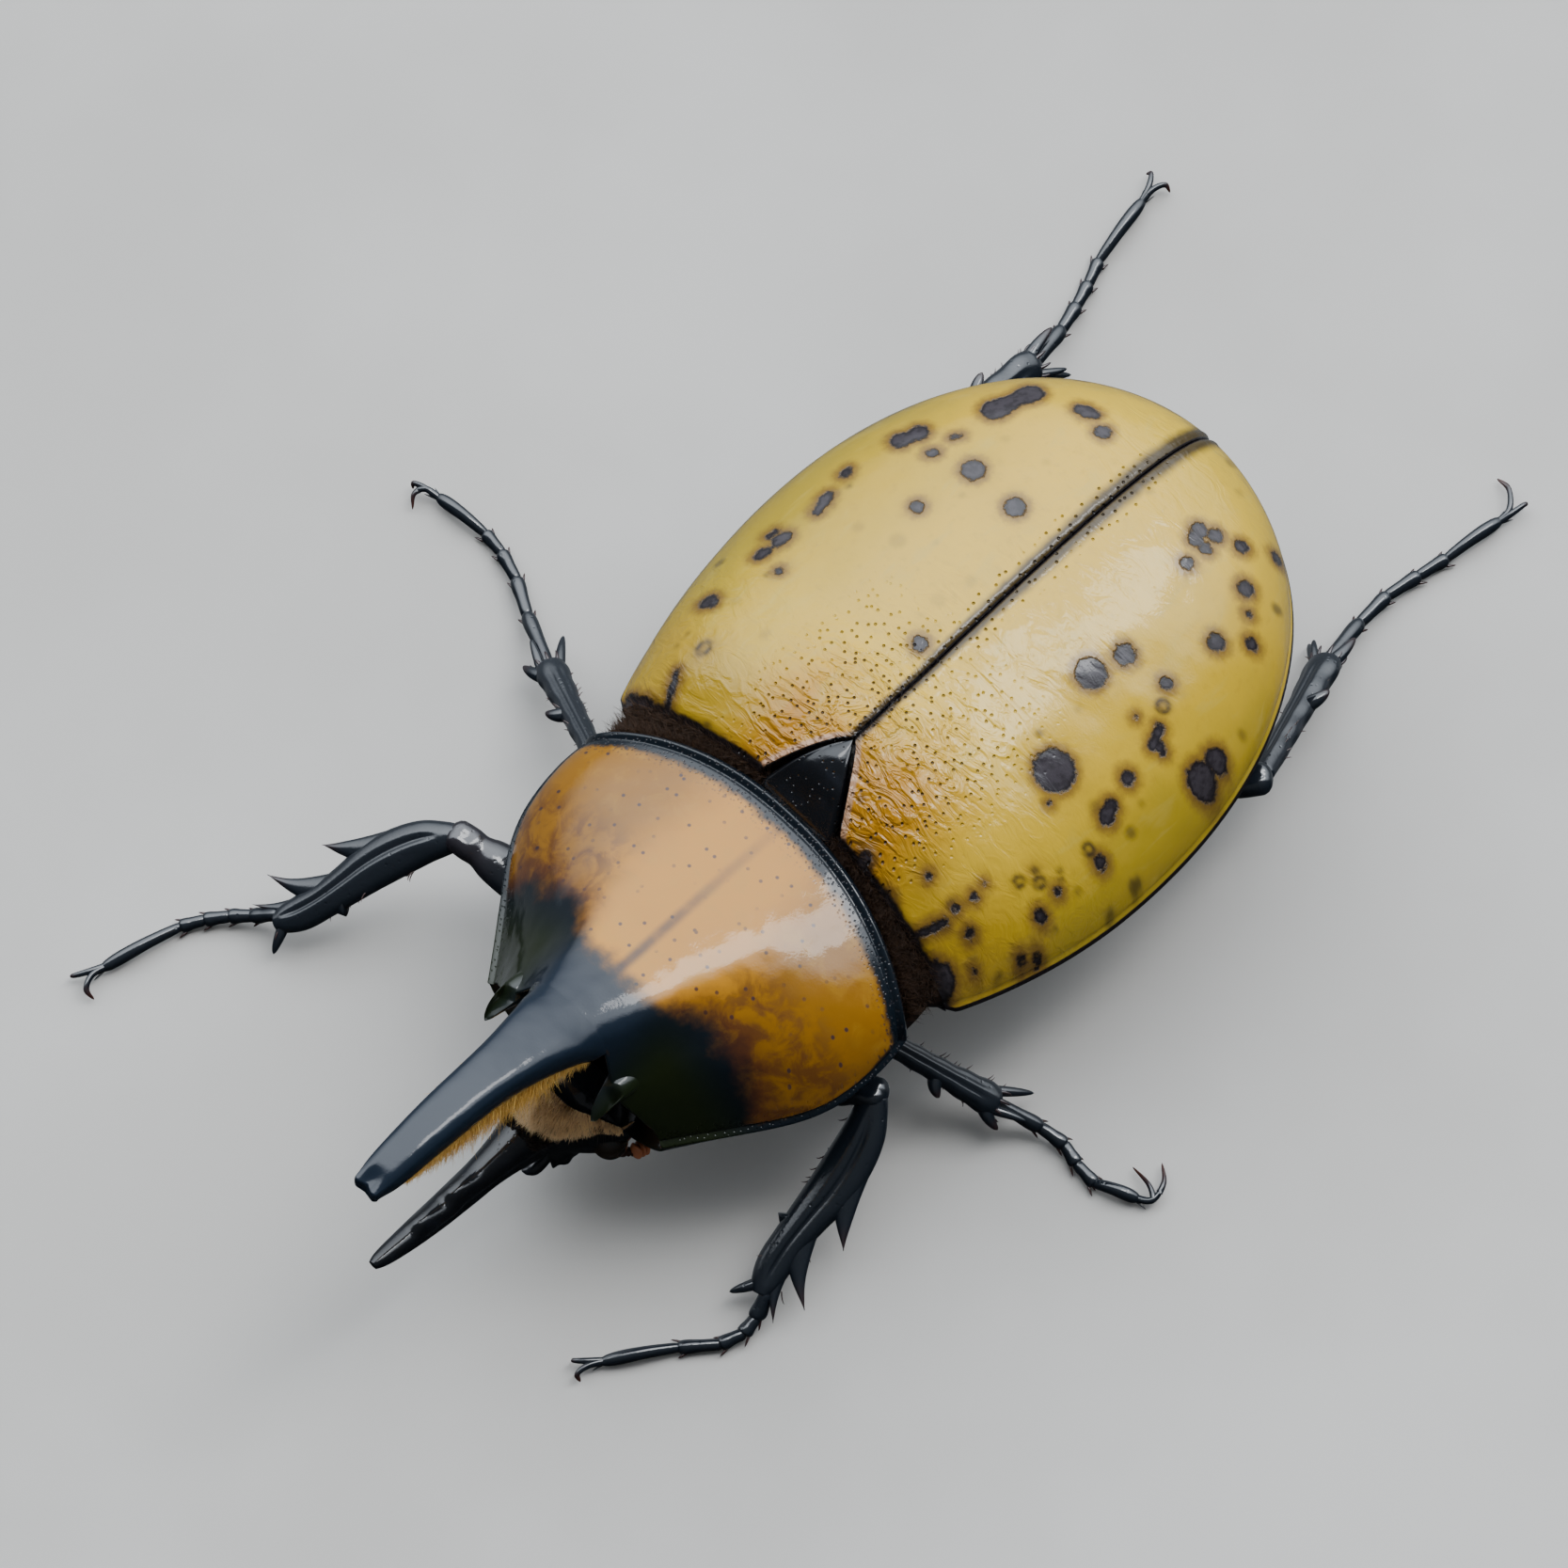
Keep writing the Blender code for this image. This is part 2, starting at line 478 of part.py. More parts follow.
def make_wing_case(side, collection):
    """One wing case: a shell of even thickness whose rim turns under a little."""
    sign = SIDES[side]
    columns, rows = WING_COLUMNS, WING_ROWS
    grids = []
    for inset in (0.0, WING_THICKNESS):
        apex = WING_APEX_Y - inset
        grid = []
        for row in range(rows):
            turn = math.pi / 2 * row / rows
            station = WING_BASE_Y + (apex - WING_BASE_Y) * math.sin(turn)
            line = [wing_point(column / (columns - 1), station, inset) for column in range(columns)]
            edge = line[-1]
            line.append(Vector((max(edge.x - WING_TUCK[0], GAP / 2), edge.y, edge.z - WING_TUCK[1])))
            grid.append(line)
        grids.append(grid)
    outer, inner = grids
    points, index = [], {}
    for layer, grid in enumerate(grids):
        for row, line in enumerate(grid):
            for column, point in enumerate(line):
                index[layer, row, column] = len(points)
                points.append((sign * point.x, point.y, point.z))
    last_row, last_column = rows - 1, columns
    tips = []
    for inset in (0.0, WING_THICKNESS):
        rim = wing_rim_z(WING_APEX_Y)
        tips.append(len(points))
        points.append((sign * GAP / 2, WING_APEX_Y - inset, rim))
    faces = []
    for layer in (0, 1):
        for row in range(last_row):
            for column in range(last_column):
                faces.append([index[layer, row, column], index[layer, row, column + 1],
                              index[layer, row + 1, column + 1], index[layer, row + 1, column]])
        for column in range(last_column):
            faces.append([index[layer, last_row, column], index[layer, last_row, column + 1], tips[layer]])
    for column in range(last_column):
        faces.append([index[0, 0, column], index[0, 0, column + 1],
                      index[1, 0, column + 1], index[1, 0, column]])
    for row in range(last_row):
        for column in (0, last_column):
            faces.append([index[0, row, column], index[0, row + 1, column], index[1, row + 1, column],
                          index[1, row, column]])
    for column in (0, last_column):
        faces.append([index[0, last_row, column], tips[0], tips[1], index[1, last_row, column]])
    return add_piece(f"elytron_{side}", points, faces, "wing_case", collection)


def make_scutellum(collection):
    rings = []
    rows, columns = SCUTELLUM_ROWS, SCUTELLUM_COLUMNS
    for row in range(rows):
        y = SCUTELLUM_BASE_Y + (SCUTELLUM_TIP_Y - SCUTELLUM_BASE_Y) * row / rows
        half = scutellum_half_width(y)
        upper, lower = [], []
        for column in range(columns + 1):
            x = half * (2 * column / columns - 1)
            crown = wing_surface(x, y) + SCUTELLUM_RISE * arch(x / half, 2.0)
            upper.append(Vector((x, y, crown)))
            lower.append(Vector((x * SCUTELLUM_UNDERCUT, y, wing_surface(x, y) - SCUTELLUM_DEPTH)))
        rings.append(upper + lower[::-1])
    tip = Vector((0.0, SCUTELLUM_TIP_Y, wing_surface(0.0, SCUTELLUM_TIP_Y) - 0.2))
    rings.append([tip])
    return loft("scutellum", rings, "horn_black", collection)


def belly_section(y):
    """A ring of the hind body at y: inside the dome above the rim, rounded to the belly below it."""
    inset = BODY_INSET
    half = wing_half_width(y, inset)
    rim = wing_rim_z(y)
    rise = wing_crown_z(y, inset) - rim
    beyond = max(y - WING_WIDEST_Y, 0.0) / (WING_APEX_Y - inset - WING_WIDEST_Y)
    drop = tabled(BELLY_DROP, y) * arch(beyond, BODY_END_POWER)
    power = tabled(BELLY_POWER, y)
    ring = []
    for step in range(4 * BODY_COLUMNS):
        angle = math.pi / 2 * step / BODY_COLUMNS
        cosine, sine = math.cos(angle), math.sin(angle)
        if sine >= 0:
            x = half * math.copysign(abs(cosine) ** (2 / WING_SECTION_POWER), cosine)
            z = rim + rise * abs(sine) ** (2 / WING_SECTION_POWER)
        else:
            x = half * cosine
            z = rim - drop * arch(cosine, power)
        ring.append(Vector((x, y, z)))
    return ring


def make_hind_body(collection):
    """The thorax behind the waist and the abdomen, both under the wing cases."""
    inward, flatter = CHEST_FRONT_SHARE
    front = []
    for p in belly_section(CHEST_FRONT_Y):
        x = inward * p.x
        y = p.y - CHEST_FRONT_SWEEP * (x / WING_BASE_HALF_WIDTH) ** 2
        front.append(Vector((x, y, CHEST_FRONT_CENTRE_Z + flatter * (p.z - CHEST_FRONT_CENTRE_Z))))
    rings = [front] + [belly_section(station) for station in CHEST_STATIONS]
    chest = loft("thorax_rear", rings, "belly", collection)
    hips = []
    for row in ("middle", "hind"):
        for side in SIDES:
            hips += make_hip(f"{row}_{side}", collection)
    combine(chest, hips, "UNION")

    end = WING_APEX_Y - BODY_INSET
    segment = (end - WAIST_Y) / STERNITE_COUNT
    rings = []
    for number in range(STERNITE_COUNT):
        for place, lift in STERNITE_SHAPE:
            y = WAIST_Y + segment * (number + place)
            if y > end - BODY_END_ROOM:
                continue
            low = wing_rim_z(y) - STERNITE_LOW_Z
            step = Vector((0, 0, STERNITE_STEP * lift))
            rings.append([p - step if p.z < low else p for p in belly_section(y)])
    for short in BODY_END_STEPS:
        rings.append(belly_section(end - short))
    rings.append([Vector((0.0, end, wing_rim_z(end)))])
    loft("abdomen", rings, "belly", collection)


def shield_rear_y(x):
    return NECK_Y - NECK_SWEEP * (abs(x) / NECK_SWEEP_HALF_WIDTH) ** NECK_SWEEP_POWER


def shield_surface(x, y):
    """The height of the prothorax above its side margin at x, y."""
    ratio = min(abs(x) / tabled(SHIELD_HALF_WIDTH, y), 1.0)
    margin = tabled(SHIELD_MARGIN_Z, y)
    hollow = eased(HOLLOW_START_Y, FRONT_Y, y)
    share = (1 - hollow) * arch(ratio, SHIELD_DOME_POWER) + hollow * tabled(SHIELD_FRONT_PROFILE, ratio)
    return margin + (tabled(SHIELD_CROWN_Z, y) - margin) * share


def sternum_surface(x, y):
    ratio = min(abs(x) / tabled(SHIELD_HALF_WIDTH, y), 1.0)
    return tabled(SHIELD_MARGIN_Z, y) - tabled(STERNUM_DROP, y) * arch(ratio, tabled(STERNUM_POWER, y))


def shield_ring(station):
    """A ring round the prothorax; the hindmost ones bend along the neck."""
    ring = []
    bend = 1 - eased(NECK_Y, NECK_Y - NECK_BEND, station)
    for step in range(4 * SHIELD_COLUMNS):
        angle = math.pi / 2 * step / SHIELD_COLUMNS
        cosine, sine = math.cos(angle), math.sin(angle)
        y = station
        for _ in range(3):
            half = tabled(SHIELD_HALF_WIDTH, y)
            x = half * math.copysign(abs(cosine) ** (2 / SHIELD_DOME_POWER), cosine)
            y = station + bend * (shield_rear_y(x) - NECK_Y)
        z = shield_surface(x, y) if sine >= 0 else sternum_surface(x, y)
        ring.append(Vector((x, y, z)))
    return ring


def make_prothorax(collection):
    rings = []
    rear = shield_ring(NECK_Y)
    for share in REAR_SHARES:
        ring = []
        for p in rear:
            z = FACE_CENTRE_Z + (p.z - FACE_CENTRE_Z) * share
            ring.append(Vector((p.x * share, shield_rear_y(p.x * share), z)))
        rings.append(ring)
    rings.append(rear)
    rings += [shield_ring(station) for station in SHIELD_STATIONS]
    front = rings[-1]
    for share in FACE_SHARES:
        ring = []
        for p in front:
            z = FACE_CENTRE_Z + (p.z - FACE_CENTRE_Z) * share
            depth = eased(FACE_HOLLOW_TOP_Z, FACE_HOLLOW_FULL_Z, z) * eased(*FACE_HOLLOW_LOW_Z, z)
            ring.append(Vector((p.x * share, FRONT_Y + FACE_HOLLOW * depth * (1 - share**2), z)))
        rings.append(ring)
    shield = loft("prothorax", rings, "shield", collection)
    extras = []
    for side, sign in SIDES.items():
        extras += make_hip(f"front_{side}", collection)
        root, tip, bow = (mirrored(SHIELD_TOOTH[key], sign) for key in ("root", "tip", "bow"))
        extras.append(thorn("tooth", root, tip, SHIELD_TOOTH_RADIUS, bow, "shield", collection, TOE_SIDES))
    combine(shield, extras, "UNION")


def make_thoracic_horn(collection):
    rings = []
    for number, (y, half, top, depth) in enumerate(HORN_STATIONS):
        tip = number == len(HORN_STATIONS) - 1
        ring = []
        for step in range(HORN_SIDES):
            angle = 2 * math.pi * step / HORN_SIDES
            x = half * math.cos(angle)
            notch = HORN_NOTCH * (1 - abs(x) / half) if tip else 0.0
            ring.append(Vector((x, y + notch, top - depth / 2 + depth / 2 * math.sin(angle))))
        rings.append(ring)
    end_y, _, end_top, _ = HORN_STATIONS[-1]
    rings.append([Vector((0.0, end_y + HORN_NOTCH * 1.2, end_top - HORN_END_DROP))])
    loft("thoracic_horn", rings, "horn_black", collection)


def ovals(stations, sides):
    """Rings across the y axis, each from (y, half width, centre z, half height)."""
    rings = []
    for y, half, centre, rise in stations:
        ring = []
        for step in range(sides):
            angle = 2 * math.pi * step / sides
            ring.append(Vector((half * math.cos(angle), y, centre + rise * math.sin(angle))))
        rings.append(ring)
    return rings


def mirrored(point, sign):
    """The same point on the side that sign stands for."""
    return Vector((sign * point[0], point[1], point[2]))


def make_head(collection):
    head = loft("head", ovals(HEAD_STATIONS, HEAD_SIDES), "horn_black", collection)
    extras = [loft("clypeus", ovals(CLYPEUS_STATIONS, SMALL_SIDES), "horn_black", collection)]
    for sign in SIDES.values():
        path = [mirrored(point, sign) for point in PALP_PATH]
        sizes = [(width, width) for width in PALP_WIDTHS]
        extras.append(limb("palp", path, sizes, (0, 0, 1), "horn_black", collection))
    combine(head, extras, "UNION")
    sockets = []
    for sign in SIDES.values():
        sockets.append(ball("socket", mirrored(EYE_PLACE, sign), EYE_RADIUS + GAP, collection))
    combine(head, sockets, "DIFFERENCE")


def make_head_parts(side, collection):
    """The eye, mandible and antenna of one side; the antenna is folded back beside the head."""
    sign = SIDES[side]
    eye = ball(f"eye_{side}", mirrored(EYE_PLACE, sign), EYE_RADIUS, collection, 14, 8)
    eye.data.materials.append(material("eye"))
    eye.data.shade_smooth()
    path = [mirrored(point, sign) for point in MANDIBLE_PATH]
    limb(f"mandible_{side}", path, MANDIBLE_SIZES, (1, 0, 0), "horn_black", collection)
    path = [mirrored(point, sign) for point in ANTENNA_PATH]
    antenna = limb(f"antenna_{side}", path, ANTENNA_SIZES, (0, 0, 1), "antenna", collection)
    path = [mirrored(point, sign) for point in CLUB_PATH]
    club = limb("club", path, CLUB_SIZES, (0, 1, 0), "antenna", collection)
    combine(antenna, [club], "UNION")


def make_head_horn(collection):
    horn = loft("cephalic_horn", ovals(HEAD_HORN_STATIONS, SMALL_SIDES), "horn_black", collection)
    teeth = []
    for y, height in HEAD_HORN_TEETH:
        top = next(centre + rise for at, _, centre, rise in reversed(HEAD_HORN_STATIONS) if at >= y)
        root, tip = (0.0, y + 1.0, top - 0.8), (0.0, y - 0.3, top + height)
        teeth.append(thorn("tooth", root, tip, 0.6, (0, 0, 0), "horn_black", collection))
    combine(horn, teeth, "UNION")


def limb_sizes(table):
    """The width and thickness of a thigh or shin at each of its rings."""
    widths = [(place, width) for place, width, _ in table]
    depths = [(place, depth) for place, _, depth in table]
    return [(tabled(widths, place), tabled(depths, place)) for place in LIMB_PLACES]


def spur_directions(name, along):
    """The outward and the upward direction of a shin, both square to its length."""
    row, side = name.split("_")
    outward = mirrored(SHIN_OUTWARD[row], SIDES[side])
    outward = (outward - outward.dot(along) * along).normalized()
    upward = outward.cross(along)
    return outward, upward if upward.z > 0 else -upward


def make_thigh(name, collection):
    """The thigh, begun a gap off the hip, and the room that its knee needs in the shin."""
    row = name.split("_")[0]
    hip, knee = Vector(LEGS[name]["hip"]), Vector(LEGS[name]["knee"])
    along = (knee - hip).normalized()
    flat = Vector((0, 0, 1)).cross(along).normalized()
    path = [hip.lerp(knee, place) for place in LIMB_PLACES]
    sizes = limb_sizes(THIGH_SIZES[row])
    path += [knee + along * reach for reach, _ in KNEE_STEPS]
    sizes += [size for _, size in KNEE_STEPS]
    thigh = limb(f"femur_{name}", path, sizes, flat, "leg_black", collection, LIMB_SIDES)
    combine(thigh, make_hip(name, collection, HIP_ROOM), "DIFFERENCE")
    path[-1] = path[-1] + along * GAP
    sizes = [(width + 2 * KNEE_ROOM, depth + 2 * KNEE_ROOM) for width, depth in sizes]
    return limb("room", path, sizes, flat, "leg_black", collection, LIMB_SIDES)


def make_leg(name, collection):
    """Thigh, shin and foot, each begun a gap away from what carries it."""
    row = name.split("_")[0]
    knee, ankle = Vector(LEGS[name]["knee"]), Vector(LEGS[name]["ankle"])
    room = make_thigh(name, collection)
    along = (ankle - knee).normalized()
    outward, upward = spur_directions(name, along)
    path = [knee.lerp(ankle, place) for place in LIMB_PLACES]
    sizes = limb_sizes(SHIN_SIZES[row])
    shin = limb(f"tibia_{name}", path, sizes, outward, "leg_black", collection, LIMB_SIDES)
    extras = []
    for root, tip, reach, radius in SHIN_TEETH[row]:
        start = knee.lerp(ankle, root) + outward * TOOTH_SUNK
        end = knee + (ankle - knee) * tip + outward * reach
        bow = along * TOOTH_BOW[0] + outward * TOOTH_BOW[1]
        extras.append(thorn("tooth", start, end, radius * TOOTH_GIRTH, bow, "leg_black", collection))
    for reach, inward, rise, radius in SHIN_SPURS[row]:
        start = ankle - along * SPUR_SUNK - outward * math.copysign(SPUR_ASIDE, inward)
        end = ankle + along * reach - outward * inward + upward * rise
        end.z = max(end.z, SPUR_LOW_Z)
        extras.append(thorn("spur", start, end, radius, (0, 0, 0), "leg_black", collection))
    combine(shin, extras, "UNION")
    combine(shin, [room], "DIFFERENCE")

    path, sizes = foot_line(name, ankle, along)
    across = Vector((0, 0, 1)).cross(path[-1] - path[0]).normalized()
    path[0] = ankle - along * GAP / 2
    sizes = [(width + 2 * TOE_ROOM, depth + 2 * TOE_ROOM) for width, depth in sizes[:5]]
    room = limb("room", path[:5], sizes, across, "leg_black", collection, TOE_SIDES)
    combine(shin, [room], "DIFFERENCE")
    make_foot(name, ankle, along, collection)


def foot_line(name, ankle, along):
    """The path and the sizes of the five toe joints, each widening to its end."""
    toes = [ankle + along * GAP / 2] + [Vector(toe) for toe in LEGS[name]["toes"]]
    path, sizes = [], []
    for number, (near, far) in enumerate(zip(toes, toes[1:])):
        radii = CLAW_TOE_RADII if number == 4 else TOE_RADII
        girth = 2 * (TOE_TAPER[0] - TOE_TAPER[1] * number)
        for place, radius in zip(TOE_PLACES, radii):
            path.append(near.lerp(far, place) if path else near)
            sizes.append((girth * radius, girth * radius))
    return path, sizes


def make_foot(name, ankle, along, collection):
    """The toe joints and two claws, cut flat where they stand."""
    path, sizes = foot_line(name, ankle, along)
    toes = [path[0]] + [Vector(toe) for toe in LEGS[name]["toes"]]
    across = Vector((0, 0, 1)).cross(path[-1] - path[0]).normalized()
    foot = limb(f"tarsus_{name}", path, sizes, across, "leg_black", collection, TOE_SIDES)
    last = (toes[-1] - toes[-2]).normalized()
    root = toes[-1] - last * CLAW_SUNK
    bow = last * CLAW_BOW[0] + Vector((0, 0, CLAW_BOW[1]))
    claws = []
    for tip in LEGS[name]["claws"]:
        claws.append(thorn("claw", root, tip, CLAW_RADIUS, bow, "leg_black", collection))
    combine(foot, claws, "UNION")
    middle = (toes[0] + toes[-1]) / 2
    below = Vector((middle.x, middle.y, -FLOOR_SLAB / 2))
    slab = bpy.data.objects.new("floor", bpy.data.meshes.new("floor"))
    work = bmesh.new()
    bmesh.ops.create_cube(work, size=FLOOR_SLAB * MM, matrix=Matrix.Translation(below * MM))
    work.to_mesh(slab.data)
    work.free()
    collection.objects.link(slab)
    combine(foot, [slab], "DIFFERENCE")


def centre_on_floor(collection):
    """Move every piece so that the origin is under the middle of the whole, at the floor."""
    bpy.context.view_layer.update()
    corners = [vert.co for piece in collection.objects for vert in piece.data.vertices]
    low = Vector([min(corner[axis] for corner in corners) for axis in range(3)])
    high = Vector([max(corner[axis] for corner in corners) for axis in range(3)])
    shift = Matrix.Translation((-(low.x + high.x) / 2, -(low.y + high.y) / 2, -low.z))
    for piece in collection.objects:
        piece.data.transform(shift)


def build():
    for old in list(bpy.data.objects):
        bpy.data.objects.remove(old)
    beetle = bpy.data.collections.new("dynastes_maya")
    bpy.context.scene.collection.children.link(beetle)
    make_prothorax(beetle)
    make_thoracic_horn(beetle)
    make_head(beetle)
    make_head_horn(beetle)
    for side in SIDES:
        make_head_parts(side, beetle)
        make_wing_case(side, beetle)
    make_scutellum(beetle)
    make_hind_body(beetle)
    for name in LEGS:
        make_leg(name, beetle)
    centre_on_floor(beetle)


build()
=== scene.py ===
"""Looks of a life-size horned beetle, standing still, seen as the photograph shows it.

Shapes are in millimetres, measured from a point on the floor under the tip of the scutellum: the beetle
faces -Y and its own left side is +X. They are turned into the frame's metres when a mesh is made.
"""
import math

import bmesh
import bpy
import numpy as np
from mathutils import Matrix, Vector


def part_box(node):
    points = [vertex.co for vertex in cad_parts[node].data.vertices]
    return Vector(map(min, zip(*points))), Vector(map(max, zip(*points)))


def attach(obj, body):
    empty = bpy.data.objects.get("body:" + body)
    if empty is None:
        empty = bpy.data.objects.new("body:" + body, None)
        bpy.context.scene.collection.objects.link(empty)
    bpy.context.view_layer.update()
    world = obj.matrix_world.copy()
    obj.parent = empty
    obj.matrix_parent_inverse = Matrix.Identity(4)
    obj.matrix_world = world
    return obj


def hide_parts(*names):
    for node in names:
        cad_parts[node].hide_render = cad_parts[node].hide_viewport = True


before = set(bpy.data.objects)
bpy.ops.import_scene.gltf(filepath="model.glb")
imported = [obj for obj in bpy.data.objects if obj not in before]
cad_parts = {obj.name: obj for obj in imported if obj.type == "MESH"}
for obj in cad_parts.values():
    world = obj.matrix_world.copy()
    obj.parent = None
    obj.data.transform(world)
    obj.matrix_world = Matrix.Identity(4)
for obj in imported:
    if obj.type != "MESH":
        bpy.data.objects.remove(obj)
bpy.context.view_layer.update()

MM = 0.001
SIDES = {"left": 1, "right": -1}
UP = np.array([0.0, 0.0, 1.0])
JOIN_REACH = 0.002
JOIN_LIMIT = 90000
SCUTELLUM_TIP_Y = -0.1
SCUTELLUM_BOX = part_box("scutellum")
ORIGIN = np.array([
    (SCUTELLUM_BOX[0].x + SCUTELLUM_BOX[1].x) / 2,
    SCUTELLUM_BOX[1].y - SCUTELLUM_TIP_Y * MM,
    0.0,
])

# Wing cases
WING_HALF_WIDTH = 15.3
WING_WIDEST_Y = 8.5
WING_APEX_Y = 28.5
WING_BASE_Y = -4.1
WING_BASE_SWEEP = 1.4
WING_BASE_HALF_WIDTH = 12.4
WING_PLAN_POWER = 2.12
WING_SECTION_POWER = 2.12
WING_RIM_Z = 11.3
WING_CROWN_Z = 20.5
WING_LEVEL_Y = 5.0
WING_END_POWER = 2.8
WING_SHOULDER_RISE = 1.4
WING_SHOULDER_REACH = 10.5
WING_APEX_FALL = 0.5
WING_BASE_BEND = 6.0
WING_FRONT_CROWN = ((-6.0, 16.6), (-4.1, 18.6), (-2.0, 20.2), (0.0, 20.8), (3.0, 20.75), (5.0, 20.5))
SUTURE_HALF_GAP = 0.05
RIGHT_WING_SHIFT = 0.1
SCUTELLUM_BASE_Y = -4.15
SCUTELLUM_HALF_WIDTH = 2.7
SCUTELLUM_POWER = 0.9
SCUTELLUM_CLEARANCE = 0.2
SCUTELLUM_GRID = (60, 61)
SCUTELLUM_SUNK = 0.12
SCUTELLUM_DOME = 0.55
SCUTELLUM_EDGE_FALL = 0.3
SCUTELLUM_BASE_FALL = 0.5
SCUTELLUM_THICKNESS = 0.9
SCUTELLUM_SKIRT = ((0.0, 0.0), (0.2, 0.25), (0.45, 0.8), (0.9, 1.6), (1.5, 2.4))
WING_GRID = (150, 230)
# Ridges and grooves on a wing case: height, distance from its edge and width
SEAM_LIP = (0.12, 0.16, 0.13)
SEAM_GROOVE = (-0.1, 0.0, 0.16)
SEAM_RIDGE = (0.04, 0.34, 0.16)
RIM_BEAD = (0.1, 0.12, 0.16)
RIM_GROOVE = (-0.07, 0.55, 0.2)
BASE_FALL = (-0.35, 0.0, 0.32)
# Its low swellings: x and width, y and width, height
WING_BOSSES = ((10.0, 2.0, -2.6, 1.8, 0.22), (7.0, 2.6, 22.5, 2.4, 0.12))
# Its turned-under rim, its wall at the suture and its front face, outward or ahead and down from the edge
WING_ROLL = ((0.1, 0.12), (0.14, 0.28), (0.08, 0.44), (-0.08, 0.56), (-0.3, 0.66), (-0.8, 0.78), (-1.4, 0.8))
WING_WALL = (0.9, 0.45, 0.12)
WING_FRONT = ((0.0, 1.9), (0.16, 1.2), (0.24, 0.7), (0.2, 0.36), (0.12, 0.14))
WING_REAR_TURN = (18.0, 28.0)
WING_REAR_WAY = (0.35, 1.0, 0.0)
WING_CORNER = (9.5, 12.4)
WING_CORNER_DEPTH = 0.15

# Spots on the wing cases. A round one is x, y, radius, darkness; a long one x, y to x, y, radius, darkness.
RIGHT_SPOTS = (
    (-8.8, 19.5, -8.0, 22.6, 0.72, 1.0), (-11.3, 14.8, -10.6, 16.4, 0.58, 1.0),
    (-5.6, 23.0, -4.3, 23.5, 0.45, 1.0), (-3.6, 22.7, -3.2, 22.9, 0.5, 1.0),
    (-9.1, 16.8, -8.7, 17.4, 0.2, 0.8), (-9.3, 15.2, -8.9, 15.7, 0.32, 0.8), (-6.6, 16.0, 0.62, 0.9),
    (-7.2, 12.3, 0.48, 0.9), (-3.3, 15.8, 0.66, 1.0), (-6.8, 9.9, -6.2, 10.2, 0.42, 0.25),
    (-11.7, 10.2, -11.3, 8.6, 0.36, 1.0), (-12.1, 12.1, -11.9, 11.4, 0.3, 0.9),
    (-11.2, 10.9, -11.1, 11.2, 0.2, 0.7), (-11.8, 5.9, -11.5, 6.9, 0.42, 1.0),
    (-12.0, 4.6, -11.7, 5.5, 0.34, 1.0), (-12.5, 6.0, -12.3, 6.7, 0.2, 0.8), (-10.2, 4.7, 0.27, 0.8),
    (-10.6, 4.1, 0.14, 0.7), (-12.3, 0.7, -11.8, 1.4, 0.46, 1.0), (-13.7, 3.3, -13.6, 3.8, 0.26, 0.6),
    (-11.5, -1.1, 0.15, 0.7), (-11.5, -1.8, 0.13, 0.6), (-10.7, 1.9, 0.3, 0.2),
    (-7.9, 1.2, -7.8, 1.4, 0.3, 0.25), (-10.4, -2.9, -9.2, -5.2, 0.2, 0.9),
    (-6.9, -4.0, -7.0, -4.9, 0.3, 0.6), (-1.3, 6.4, 0.5, 0.85), (-10.3, -5.2, -12.1, -5.3, 0.5, 1.0),
    (-7.6, 25.2, -6.9, 25.6, 0.25, 0.5), (-4.9, 11.3, 0.2, 0.15), (-2.4, 8.9, 0.5, 0.16),
    (-1.9, 10.9, 0.35, 0.2), (-4.2, 19.0, -3.9, 19.2, 0.2, 0.2), (-7.0, 18.6, -6.6, 18.8, 0.25, 0.2),
    (-5.9, 14.4, 0.22, 0.3), (-8.9, 9.2, -8.6, 9.5, 0.35, 0.25),
)
